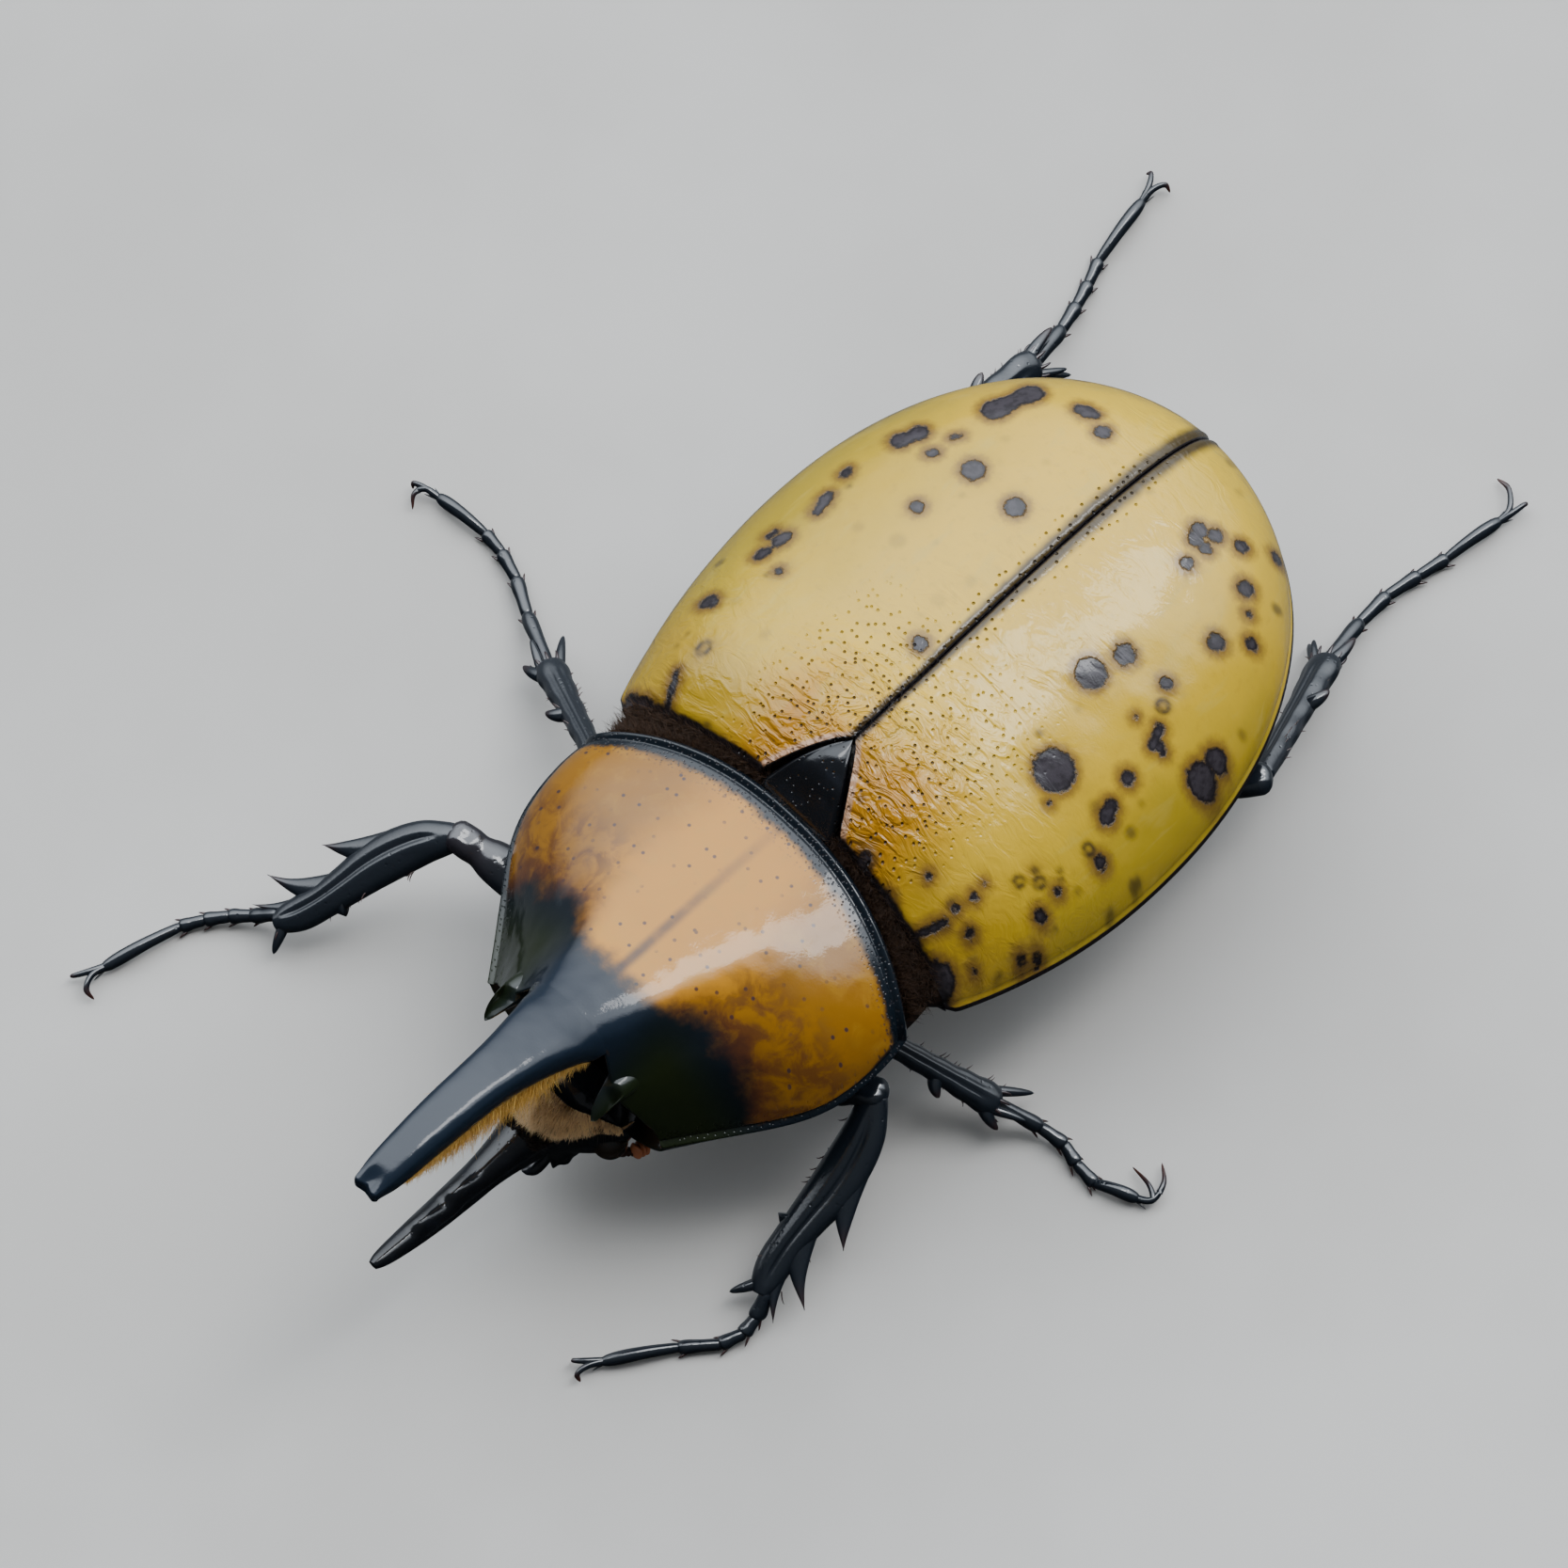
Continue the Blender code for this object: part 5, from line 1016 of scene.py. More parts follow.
def shield_tooth(sign):
    """Rings of a tooth on the prothorax's front margin, with a hollow in its upper face."""
    root, tip, bow = (mirrored(SHIELD_TOOTH[key], sign) for key in ("root", "tip", "bow"))
    path, place = bowed_path(root, tip, bow, TOOTH_RINGS)
    width = tabled(TOOTH_WIDTHS, place[:, 0])
    rings = limb(path, width, width, np.cross(tip - root, (0.0, 0.0, 1.0)), TOOTH_RINGS)
    from_axis = rings - rings.mean(1, keepdims=True)
    away = unit(from_axis)
    sunk = eased(*TOOTH_RIM, np.abs(away[..., 0])) * (away[..., 2] > 0)
    sunk = sunk * eased(*TOOTH_HOLLOW_START, place) * eased(*TOOTH_HOLLOW_END, place)
    rings[..., 2] -= sunk * (from_axis[..., 2] + TOOTH_TILT * sign * from_axis[..., 0] + TOOTH_HOLLOW)
    return rings


def make_shield(finish):
    """Prothorax and thoracic horn as one skin, with the bead and groove along its margins."""
    angle = shield_angles()
    top = (angle >= 0) & (angle <= math.pi)
    rings, from_edge = shield_shell(angle, top)
    rear = shield_rear(rings[0])
    shell = np.concatenate([rear, rings])
    edge = np.concatenate([np.zeros(rear.shape[:2]), np.where(top, from_edge, 0.0)])
    shape = Shape()

    def marks(grid, edge=3.0, cavity=0.0, under=0.0):
        return {"edge": edge, "cavity": np.broadcast_to(cavity, grid.shape[:2]), "along": grid[..., 1],
                "sideways": np.abs(grid[..., 0]), "under": np.broadcast_to(under, grid.shape[:2])}

    shape.sheet(shell, True, marks(shell, edge, 0.0, np.where(top, 0.0, 1.0)))
    front = rings[-1]
    near_horn = top[0] & (np.abs(front[:, 0]) < HORN_ROOT_HALF_WIDTH) & (front[:, 2] > HORN_ROOT_Z)
    on_horn = np.flatnonzero(near_horn)
    first, last = on_horn[0], on_horn[-1]
    horn = thoracic_horn(front[first:last + 1])
    shape.tube(horn, marks(horn), ends=(False, True))
    lower = np.concatenate([horn[0, last - first:], horn[0, :1]])
    # Sheet behind the horn's lower edge, painted dark all over as the shade under the horn
    back = np.stack([lower + np.array([0.0, behind, 0.0]) for behind in HORN_BACK])
    shape.sheet(back, marks=marks(back, cavity=1.0))

    order = np.concatenate([np.arange(last, rings.shape[1]), np.arange(0, first + 1)])
    lip = shield_lip(front[order])
    shade = np.concatenate([LIP_SHADE, np.ones(len(lip) - len(LIP_SHADE))])[:, None]
    shape.sheet(lip, marks=marks(lip, cavity=shade))
    for side, sign in SIDES.items():
        tooth = shield_tooth(sign)
        shape.tube(tooth, marks(tooth))
        hip_shapes(shape, f"front_{side}")
    return shape.piece("thorax_shield", finish, ["prothorax", "thoracic_horn"])


def ovals(stations, y, angle):
    half, centre, rise = columns_at(stations, y)
    return np.stack([half * np.cos(angle), y + 0 * angle, centre + rise * np.sin(angle)], -1)


def make_head(finish):
    """Head and its horn as one skin, with the horn's two blunt steps, the clypeus and the palps."""
    angle = np.linspace(0.0, 2 * math.pi, 96, endpoint=False)[None]
    y = np.linspace(*HEAD_SPAN, 220)[:, None]
    rings = ovals(HEAD_STATIONS, y, angle)
    upper = np.maximum(np.sin(angle), 0.0) ** 2
    for tooth_y, height in HEAD_HORN_TEETH:
        step = eased(*STEP_RISE, y - tooth_y) * eased(*STEP_END, y - tooth_y)
        rings[..., 2] += height * upper * step
    shape = Shape()
    shape.tube(rings)
    shape.tube(ovals(CLYPEUS_STATIONS, np.linspace(*CLYPEUS_SPAN, 30)[:, None], angle))
    width = PALP_WIDTH + PALP_BEADING * np.cos(np.linspace(0, 6 * math.pi, 16))
    for sign in SIDES.values():
        shape.tube(limb(mirrored_curve(PALP_PATH, sign, 16), width, width, UP, 12))
    return shape.piece("head_skin", finish, ["head", "cephalic_horn"])


def make_head_parts(side, eye_finish, black, brown):
    """Eye, mandible and antenna of one side."""
    sign = SIDES[side]
    shape = Shape()
    shape.tube(ball(mirrored(EYE_PLACE, sign), (EYE_RADIUS,) * 3, 40, 64))
    shape.piece(f"eye_skin_{side}", eye_finish, [f"eye_{side}"])
    shape = Shape()
    width = tabled(MANDIBLE_WIDTHS, np.linspace(0.0, 1.0, 20))
    shape.tube(limb(mirrored_curve(MANDIBLE_PATH, sign, 20), width, width * MANDIBLE_FLATNESS, (1, 0, 0), 16))
    shape.piece(f"mandible_skin_{side}", black, [f"mandible_{side}"])
    shape = Shape()
    place = np.linspace(0.0, 1.0, 40)
    beads = 1 + ANTENNA_BEADING * np.cos(place * 2 * math.pi * ANTENNA_BEADS) * eased(0.3, 0.4, place)
    width = tabled(ANTENNA_WIDTHS, place) * beads
    shape.tube(limb(mirrored_curve(ANTENNA_PATH, sign, 40), width, width, UP, 16), {"tip": 0.0})
    width = CLUB_WIDTH * arch(np.linspace(-0.92, 0.99, 24), 2.2)
    for aside in CLUB_LEAVES:
        path = mirrored_curve(CLUB_PATH, sign, 24) + np.array([aside * 0.3, aside, 0.0])
        shape.tube(limb(path, width * CLUB_THINNESS, width * CLUB_BREADTH, (0, 1, 0), 16), {"tip": 1.0})
    shape.piece(f"antenna_skin_{side}", brown, [f"antenna_{side}"])


def make_thigh(name, row, hip, knee, finish):
    """A flattened thigh, waisted before the knee and rounded past it."""
    along = unit(knee - hip)
    begin = hip + along * (HIP_RADIUS + THIGH_START)
    place = np.linspace(0.0, 1.0, 50)
    ahead, cap = np.array(KNEE_CAP).T
    path = np.concatenate([curve_points((begin, (begin + knee) / 2, knee), len(place)),
                           knee + along * ahead[:, None]])
    waist = 1 - ridge(place, *KNEE_WAIST)
    widths, depths = (sizes * waist for sizes in columns_at(THIGH_SIZES[row], place))

    def hollow(angle, place):
        upper = np.sin(angle) > 0
        return 1 - ridge(np.cos(angle), *KNEE_HOLLOW) * upper * inside_run(place, KNEE_HOLLOW_RUN)

    rings = limb(path, np.append(widths, cap), np.append(depths, cap * KNEE_CAP_FLATNESS),
                 unit(np.cross(UP, along)), 36, hollow)
    brown = THIGH_BROWN.get(name, 0.0) * eased(0.55, 0.8, np.linspace(0.0, 1.0, len(path)))
    shape = Shape()
    shape.tube(rings, {"tip": brown[:, None]})
    shape.piece(f"thigh_{name}", finish, [f"femur_{name}"])


def bristles(shape, draw, row, knee, ankle, outward, upward):
    """Short stiff hairs along a shin, leaning to its end."""
    along = unit(ankle - knee)
    place = np.linspace(0.0, 1.0, 70)
    widths = columns_at(SHIN_SIZES[row], place)[0]
    for _ in range(BRISTLE_COUNTS[row]):
        share = draw.uniform(*BRISTLE_RUN)
        way = outward * draw.choice(BRISTLE_WAYS) + upward * draw.uniform(*BRISTLE_TILT)
        way = unit(way + along * BRISTLE_LEAN)
        side = unit(way - (way @ along) * along)
        root = knee + (ankle - knee) * share + side * np.interp(share, place, widths) * BRISTLE_SINK
        tip = root + way * draw.uniform(*BRISTLE_LENGTH)
        shape.tube(thorn(root, tip, BRISTLE_RADIUS, along * 0.1, 5, 5), {"tip": 0.6})


def front_shin_rings(knee, ankle, outward):
    """A flat bowed shin with a glossy keel beside one furrow on its upper face, and a thin outer margin."""
    place = np.linspace(0.0, 1.0, 110)
    inner, outer, thick = columns_at(FRONT_SHIN, place)
    path = knee + (ankle - knee) * place[:, None] + outward * ((inner + outer) / 2)[:, None]
    rise = np.sign(np.cross(ankle - knee, outward)[2])

    def furrows(angle, place):
        beside = np.cos(angle)
        furrow = ridge(beside, *FRONT_FURROW) * (np.sin(angle) * rise > 0)
        return 1 + inside_run(place, FRONT_FURROW_RUN) * (furrow + ridge(beside, *FRONT_KEEL))

    return limb(path, outer - inner, thick, outward, 64, furrows)


def front_shin(shape, knee, ankle, outward):
    """The broad front shin with the hooks along its outer margin."""
    shape.tube(front_shin_rings(knee, ankle, outward))
    place = np.linspace(0.0, 1.0, 30)
    taper = HOOK_BROAD * np.maximum(1 - place, HOOK_END) ** HOOK_POWER
    for points, width, thick in FRONT_HOOKS:
        path = [knee + (ankle - knee) * share + outward * out for share, out in points]
        path = curve_points(path, len(place))
        rings = limb(path, width * taper, thick * np.sqrt(taper), outward, 24)
        shape.tube(rings, {"tip": 0.3 * eased(0.6, 1.0, place)[:, None]})


def slim_shin(shape, row, knee, ankle, outward, upward):
    """A middle or hind shin with furrows, teeth along its outer side and small spines round its end."""
    along = unit(ankle - knee)
    place = np.linspace(0.0, 1.0, 80)
    widths, depths = columns_at(SHIN_SIZES[row], place)
    ends = SLIM_END_SIZE + (1 - SLIM_END_SIZE) * inside_run(place, SLIM_END_RUN)
    rough = 1 + SLIM_WAVE * np.sin(place * SLIM_WAVES) * eased(0.1, 0.3, place)

    def furrows(angle, place):
        relief = sum(ridge(np.cos(angle), *furrow) for furrow in SLIM_FURROWS)
        return 1 + inside_run(place, SLIM_FURROW_RUN) * relief

    path = curve_points((knee, (knee + ankle) / 2, ankle), len(place))
    shape.tube(limb(path, widths * ends * rough, depths * ends, outward, 48, furrows))
    tips = {"tip": 0.3 * eased(0.5, 1.0, np.linspace(0.0, 1.0, 22))[:, None]}
    for root, tip, reach, radius in SHIN_TEETH[row]:
        start = knee + (ankle - knee) * root + outward * TOOTH_ROOT
        end = knee + (ankle - knee) * tip + outward * reach
        shape.tube(thorn(start, end, radius * TOOTH_BROAD, along * -0.15 + outward * 0.1, 20, 22), tips)
    wide, deep = outward * widths[-1] * END_SPINE_RING, upward * depths[-1] * END_SPINE_RING
    for number in range(END_SPINES):
        turn = 2 * math.pi * (number + 0.3) / END_SPINES
        side = wide * math.cos(turn) + deep * math.sin(turn)
        start = ankle - along * END_SPINE_SINK + side
        end = start + along * END_SPINE_LENGTH + side * 0.35
        shape.tube(thorn(start, end, END_SPINE_RADIUS, side * 0.1, 6, 7), {"tip": 0.3})


def make_shin(name, row, knee, ankle, finish, draw):
    """A shin with its teeth or hooks, the spurs at its end and its bristles."""
    along = unit(ankle - knee)
    outward = mirrored(SHIN_OUTWARD[row], SIDES[name.split("_")[1]])
    outward = unit(outward - (outward @ along) * along)
    upward = np.cross(outward, along)
    upward = upward if upward[2] > 0 else -upward
    shape = Shape()
    if row == "front":
        front_shin(shape, knee, ankle, outward)
    else:
        slim_shin(shape, row, knee, ankle, outward, upward)
    for reach, inward, rise, radius in SHIN_SPURS[row]:
        start = ankle - along * SPUR_ROOT - outward * math.copysign(SPUR_ASIDE, inward)
        end = ankle + along * reach - outward * inward + upward * rise
        end[2] = max(end[2], SPUR_FLOOR)
        shape.tube(thorn(start, end, radius, upward * 0.12, 14, 16))
    bristles(shape, draw, row, knee, ankle, outward, upward)
    shape.piece(f"shin_{name}", finish, [f"tibia_{name}"])


def on_floor(rings):
    """Rings flattened where they would reach below the floor."""
    rings[..., 2] = np.maximum(rings[..., 2], 0.0)
    return rings


def toe_joint(shape, number, kind, near, far, across):
    """One toe joint, flared at its end, with four small spines there if it isn't the last."""
    place = np.linspace(0.0, 1.0, 26)
    girth = 2 * (TOE_GIRTH - TOE_THINNING * number) * tabled(TOE_SIZES[kind], place)
    run = place[:, None] * (1 + 2 * TOE_OVERLAP) - TOE_OVERLAP
    path = near + (far - near) * run + UP * TOE_BOW[kind] * np.sin(place * math.pi)[:, None]
    shape.tube(on_floor(limb(path, girth * TOE_SLIMNESS, girth * TOE_FLATNESS, across, 24)))
    if kind == "last":
        return
    way = unit(far - near)
    for aside in TOE_SPINES:
        start = far - way * 0.25 + across * aside * 0.35 - UP * 0.12
        end = start + way * 0.5 + across * aside * 0.22 - UP * 0.1
        end[2] = max(end[2], 0.06)
        shape.tube(thorn(start, end, 0.09, (0, 0, 0.03), 6, 6), {"tip": 0.5})


def claw(shape, tip, end, way, across):
    """A long claw that leaves the last toe joint's end, rises and curves down to its tip."""
    place = np.linspace(0.0, 1.0, 36)
    tip = np.array(tip)
    spread = unit(np.cross(UP, way)) * CLAW_SPREAD
    spread = spread * np.sign((tip - end) @ spread)
    onward = end + way * CLAW_ONWARD + spread + UP * CLAW_RISE
    further = (onward + tip) / 2 + way * CLAW_CURVE + UP * CLAW_CROWN
    path = curve_points([end - way * CLAW_ROOT, onward, further, tip], len(place))
    width = CLAW_WIDTH * np.sqrt(np.maximum(1 - place**CLAW_POWER, CLAW_TIP))
    rings = on_floor(limb(path, width * CLAW_FLATNESS, width, across, 16))
    shape.tube(rings, {"tip": 0.8 * eased(0.5, 1.0, place)[:, None]})


def make_foot(name, ankle, along, finish):
    """Five toe joints, two long curved claws and the two short spines between them."""
    toes = [ankle - along * 0.25] + [np.array(toe) for toe in LEGS[name]["toes"]]
    across = unit(np.cross(UP, toes[-1] - toes[0]))
    shape = Shape()
    for number, (near, far) in enumerate(zip(toes, toes[1:])):
        toe_joint(shape, number, "last" if number == len(toes) - 2 else "other", near, far, across)
    end = toes[-1]
    way = unit(end - toes[-2])
    for tip in LEGS[name]["claws"]:
        claw(shape, tip, end, way, across)
    for aside in (-0.12, 0.12):
        start = end - UP * 0.1 + across * aside
        shape.tube(thorn(start, start + way * 0.7 + across * aside * 2, 0.07, (0, 0, 0.02), 6, 6))
    shape.piece(f"foot_{name}", finish, [f"tarsus_{name}"])


def make_leg(name, finish):
    """Thigh, shin and foot of one leg, each a piece of its own."""
    row = name.split("_")[0]
    hip, knee, ankle = (np.array(LEGS[name][key]) for key in ("hip", "knee", "ankle"))
    make_thigh(name, row, hip, knee, finish)
    make_shin(name, row, knee, ankle, finish, np.random.default_rng(len(name) + ord(name[0])))
    make_foot(name, ankle, unit(ankle - knee), finish)


def make_tufts(name, roots, ways, bends, lengths, tones, patches, finish):
    """Many thin tapered hairs as one mesh, each with its own small patch of the map for the looks."""
    count, rings, sides = len(roots), 3, 3
    side = unit(np.cross(ways, unit(bends + np.array([0.01, 0.02, 0.03]))))
    third = np.cross(ways, side)
    place = np.linspace(0.0, 1.0, rings)
    angle = np.arange(sides) * 2 * math.pi / sides
    spine = (roots[:, None] + ways[:, None] * (lengths[:, None] * place)[..., None]
             + bends[:, None] * (lengths[:, None] * place**2)[..., None])
    thickness = HAIR_WIDTHS[name.split("_")[0]] * (1.0 - HAIR_TAPER * place**HAIR_TAPER_POWER)
    offset = (side[:, None, None] * np.cos(angle)[None, None, :, None]
              + third[:, None, None] * np.sin(angle)[None, None, :, None])
    points = spine[:, :, None] + offset * thickness[None, :, None, None] / 2
    grid = (count, rings, sides)
    marks = {"tone": np.broadcast_to(tones[:, None, None], grid),
             "tip": np.broadcast_to(place[:, None], grid)}
    shape = Shape()
    shape.add(points, [quads_between(numbered(grid, True)), numbered(grid)[:, -1]], marks)
    made = shape.piece(name, finish, [])
    corner = np.empty(len(made.data.loops), np.int32)
    made.data.loops.foreach_get("vertex_index", corner)
    patch = np.stack([np.broadcast_to(np.cos(angle), (rings, sides)),
                      np.broadcast_to(place[:, None] * 2 - 1, (rings, sides))], -1) * HAIR_PATCH
    spread = patches[:, None, None] + patch
    layer = made.data.uv_layers.new(name="OFBake")
    layer.data.foreach_set("uv", spread.reshape(-1, 2)[corner].astype(np.float32).reshape(-1))
    return made


def make_brush(finish):
    """The golden brush under the thoracic horn, longest at its root."""
    draw = np.random.default_rng(11)
    along = draw.uniform(0.0, 1.0, BRUSH_COUNT) ** 1.1
    y = BRUSH_START_Y - BRUSH_RUN * along
    angle = math.pi * (1.5 + draw.uniform(-BRUSH_SPREAD, BRUSH_SPREAD, BRUSH_COUNT))
    half, top, depth = columns_at(HORN_STATIONS, y)
    roots = np.stack([half * np.cos(angle) * BRUSH_SINK, y,
                      top - depth / 2 + depth / 2 * np.sin(angle) * BRUSH_SINK], -1)
    aside, ahead, down = BRUSH_WAY
    run_loose, loose = BRUSH_LOOSE
    ahead = ahead + run_loose * draw.normal(size=BRUSH_COUNT)
    ways = np.stack([aside * np.cos(angle), ahead, down + 0 * y], -1)
    ways = unit(ways + loose * draw.normal(size=ways.shape))
    lengths = tabled(BRUSH_LENGTHS, y) * draw.uniform(0.75, 1.15, BRUSH_COUNT)
    patches = np.stack([0.02 + 0.46 * along, 0.05 + 0.9 * (angle / math.pi - 1.0)], -1)
    bends = np.array(BRUSH_BEND) + BRUSH_BEND_LOOSE * draw.normal(size=ways.shape)
    tones = draw.uniform(0, 1, BRUSH_COUNT)
    return make_tufts("brush_hair", roots, ways, bends, lengths, tones, patches, finish)


def face_surface(across, down):
    """The velvet face between the horn and the head: across from -1 to 1, down from 0 to 1."""
    x = FACE_HALF_WIDTH * across
    wide = np.abs(x)
    top = np.stack([x, tabled(FACE_TOP_Y, wide), tabled(FACE_TOP_Z, wide)], -1)
    low = np.stack([x, tabled(FACE_LOW_Y, wide), tabled(FACE_LOW_Z, wide)], -1)
    down = np.asarray(down)[..., None]
    return top + (low - top) * down + np.array(FACE_BULGE) * np.sin(math.pi * down)


def make_face(finish):
    """The skin under the velvet."""
    across, down = np.meshgrid(np.linspace(-1.0, 1.0, 90), np.linspace(0.0, 1.0, 24))
    grid = face_surface(across, down)
    whole = np.concatenate([grid[:1] + np.array(FACE_BEHIND), grid, grid[-1:] + np.array(FACE_BELOW)])
    shown = np.ones(whole.shape[:2])
    shown[:2] = 0.0
    shape = Shape()
    shape.sheet(whole, marks={"tone": 0.25 * shown, "tip": 0.1 * shown, "dark": 1 - shown})
    return shape.piece("face_velvet", finish, [])


def make_face_hair(finish):
    """Velvet over the face, lying down and outward in locks, shorter toward the sides."""
    draw = np.random.default_rng(12)
    count = FACE_HAIR_COUNT
    across = draw.uniform(-1.0, 1.0, count)
    down = draw.uniform(0.0, 1.0, count) ** 0.9
    roots = face_surface(across, down)
    ways = np.stack([0.9 * across, -0.8 + 0 * down, 0.45 - 0.6 * down], -1)
    ways = unit(ways + FACE_LOOSE * draw.normal(size=ways.shape))
    shorter = 1 - FACE_SHORTER * eased(*FACE_SIDE_RUN, np.abs(across))
    lengths = (FACE_LENGTH + FACE_LENGTH_TOP * (1 - down)) * shorter * draw.uniform(0.6, 1.3, count)
    patches = np.stack([0.52 + 0.46 * (across / 2 + 0.5), 0.05 + 0.9 * down], -1)
    lock = np.sin(23.0 * across + 5.0 * down + 1.5 * np.sin(9.0 * across))
    lock *= np.sin(7.0 * down + 11.0 * across)
    bends = np.array(FACE_BEND) + FACE_BEND_LOOSE * draw.normal(size=ways.shape)
    bends[:, 0] += LOCK_BEND * lock
    tones = np.clip(FACE_TONE + LOCK_TONE * lock + TONE_LOOSE * draw.normal(size=count), 0.0, 1.0)
    return make_tufts("face_hair", roots, ways, bends, lengths, tones, patches, finish)


def make_fringe(finish):
    """Black bristles at the brush's root, along and strewn through the velvet, and on the head's horn."""
    draw = np.random.default_rng(14)
    count = FRINGE_COUNT
    kind = draw.uniform(0.0, 1.0, count)
    under, on_horn = kind < FRINGE_UNDER, kind > FRINGE_STREWN[1]
    strewn = (kind > FRINGE_STREWN[0]) & (kind < FRINGE_STREWN[1])
    across = np.where(strewn, draw.uniform(-0.95, 0.95, count), draw.uniform(-0.55, 0.55, count))
    down = np.where(strewn, draw.uniform(0.1, 0.9, count), draw.uniform(0.95, 1.0, count))
    edge_y = draw.uniform(-24.7, -23.3, count)
    side = draw.choice((-1.0, 1.0), count)
    horn_y = draw.uniform(-25.9, -24.6, count)
    turn = draw.uniform(-1.0, 1.0, count)

    def placed(face, hanging, on_top):
        """Three columns for each bristle, by the place that it grows on."""
        face, hanging, on_top = (np.stack(np.broadcast_arrays(*columns), -1)
                                 for columns in (face, hanging, on_top))
        return np.where(on_horn[:, None], on_top, np.where(under[:, None], hanging, face))

    half, top, depth = columns_at(HORN_STATIONS, edge_y)
    head_half, centre, rise = columns_at(HEAD_STATIONS, horn_y)
    roots = placed(face_surface(across, down).T, (side * half * 0.6, edge_y, top - depth * 0.9),
                   (head_half * np.sin(turn), horn_y, centre + rise * np.cos(turn)))
    outward, ahead, upward = (np.where(strewn, *pair) for pair in ((0.9, 0.5), (-0.8, -0.2), (0.05, 0.75)))
    ways = placed((outward * across, ahead, upward), (0.5 * side, -0.3, -0.8),
                  (0.6 * turn, 0.15, 0.7 * np.cos(turn)))
    ways = unit(ways + 0.18 * draw.normal(size=ways.shape))
    lengths = np.where(under | strewn, 0.6, 0.42) * draw.uniform(0.7, 1.4, count)
    patches = np.stack([0.02 + 0.46 * (across / 2 + 0.5), 0.03 + 0.2 * down], -1)
    bends = 0.1 * draw.normal(size=ways.shape)
    return make_tufts("fringe_hair", roots, ways, bends, lengths, draw.uniform(0, 1, count), patches, finish)


def cleft_bed(x, depth):
    """The floor of the cleft: depth 0 at the prothorax, 1 at the wing cases."""
    rear = shield_rear_y(x)
    wing = WING_BASE_Y - WING_BASE_SWEEP * (x / WING_BASE_HALF_WIDTH) ** 2
    y = rear + (wing + 0.2 - rear) * depth
    low, high = SHIELD_MARGIN_Z[-1][1], SHIELD_CROWN_Z[-1][1]
    ratio = np.minimum(np.abs(x) / CLEFT_SHIELD_HALF_WIDTH, 1.0)
    shield_z = low + (high - low) * arch(ratio, SHIELD_DOME_POWER)
    wing_z = wing_surface(x, np.maximum(wing, WING_BASE_Y - 1.5))
    z = shield_z + (wing_z - shield_z) * depth - CLEFT_DEPTH - CLEFT_SAG * np.sin(math.pi * depth)
    return np.stack([x, y, z], -1)


def make_cleft(finish):
    """The dark skin at the bottom of the cleft."""
    across, depth = np.meshgrid(np.linspace(-1.0, 1.0, 160), np.linspace(-0.25, 1.15, 12))
    bed = cleft_bed(CLEFT_HALF_WIDTH * 1.02 * across, depth) - UP * CLEFT_SKIN_DROP
    lower = bed[[0, -1]] - UP * CLEFT_SKIN_SKIRT
    shape = Shape()
    shape.sheet(np.concatenate([lower[:1], bed, lower[1:]]), marks={"tone": 0.0, "tip": 0.0})
    return shape.piece("cleft_skin", finish, [])


def make_cleft_hair(finish):
    """Short brown hair in the cleft between the prothorax and the wing cases."""
    draw = np.random.default_rng(13)
    count = CLEFT_HAIR_COUNT
    turn = draw.uniform(-1.0, 1.0, count)
    x = CLEFT_HALF_WIDTH * np.sign(turn) * np.abs(turn) ** 0.8
    depth = draw.uniform(0.0, 1.0, count)
    ways = np.stack([0.06 * x, 0.5 - 0.9 * depth, 0.9 + 0 * x], -1)
    ways = unit(ways + 0.3 * draw.normal(size=ways.shape))
    lengths = draw.uniform(0.45, 0.95, count)
    patches = np.stack([0.02 + 0.96 * (x / (2 * CLEFT_HALF_WIDTH) + 0.5), 0.02 + 0.2 * depth], -1)
    bends = 0.3 * draw.normal(size=ways.shape)
    tones = draw.uniform(0, 1, count)
    return make_tufts("cleft_hair", cleft_bed(x, depth), ways, bends, lengths, tones, patches, finish)


class Nodes:
    """A node tree with short words for the nodes that the finishes and the sky use."""

    def __init__(self, tree):
        self.tree = tree

    def node(self, kind, inputs=None, **settings):
        made = self.tree.nodes.new(kind)
        for key, value in settings.items():
            setattr(made, key, value)
        for key, value in (inputs or {}).items():
            self.feed(made.inputs[key], value)
        return made

    def feed(self, socket, value):
        if isinstance(value, bpy.types.NodeSocket):
            self.tree.links.new(value, socket)
        else:
            socket.default_value = value

    def math(self, operation, *values):
        """One operation over all the values, from left to right."""
        result = values[0]
        for value in values[1:]:
            result = self.node("ShaderNodeMath", {0: result, 1: value}, operation=operation).outputs[0]
        return result

    def times(self, *values):
        return self.math("MULTIPLY", *values)

    def most(self, *values):
        return self.math("MAXIMUM", *values)

    def span(self, value, start, end, low=0.0, high=1.0, smooth=True):
        """Low before start, high after end, and a ramp between."""
        kind = "SMOOTHSTEP" if smooth else "LINEAR"
        if start > end:
            start, end, low, high = end, start, high, low
        made = self.node("ShaderNodeMapRange", {"Value": value, "From Min": start, "From Max": end,
                                                "To Min": low, "To Max": high}, interpolation_type=kind)
        return made.outputs["Result"]


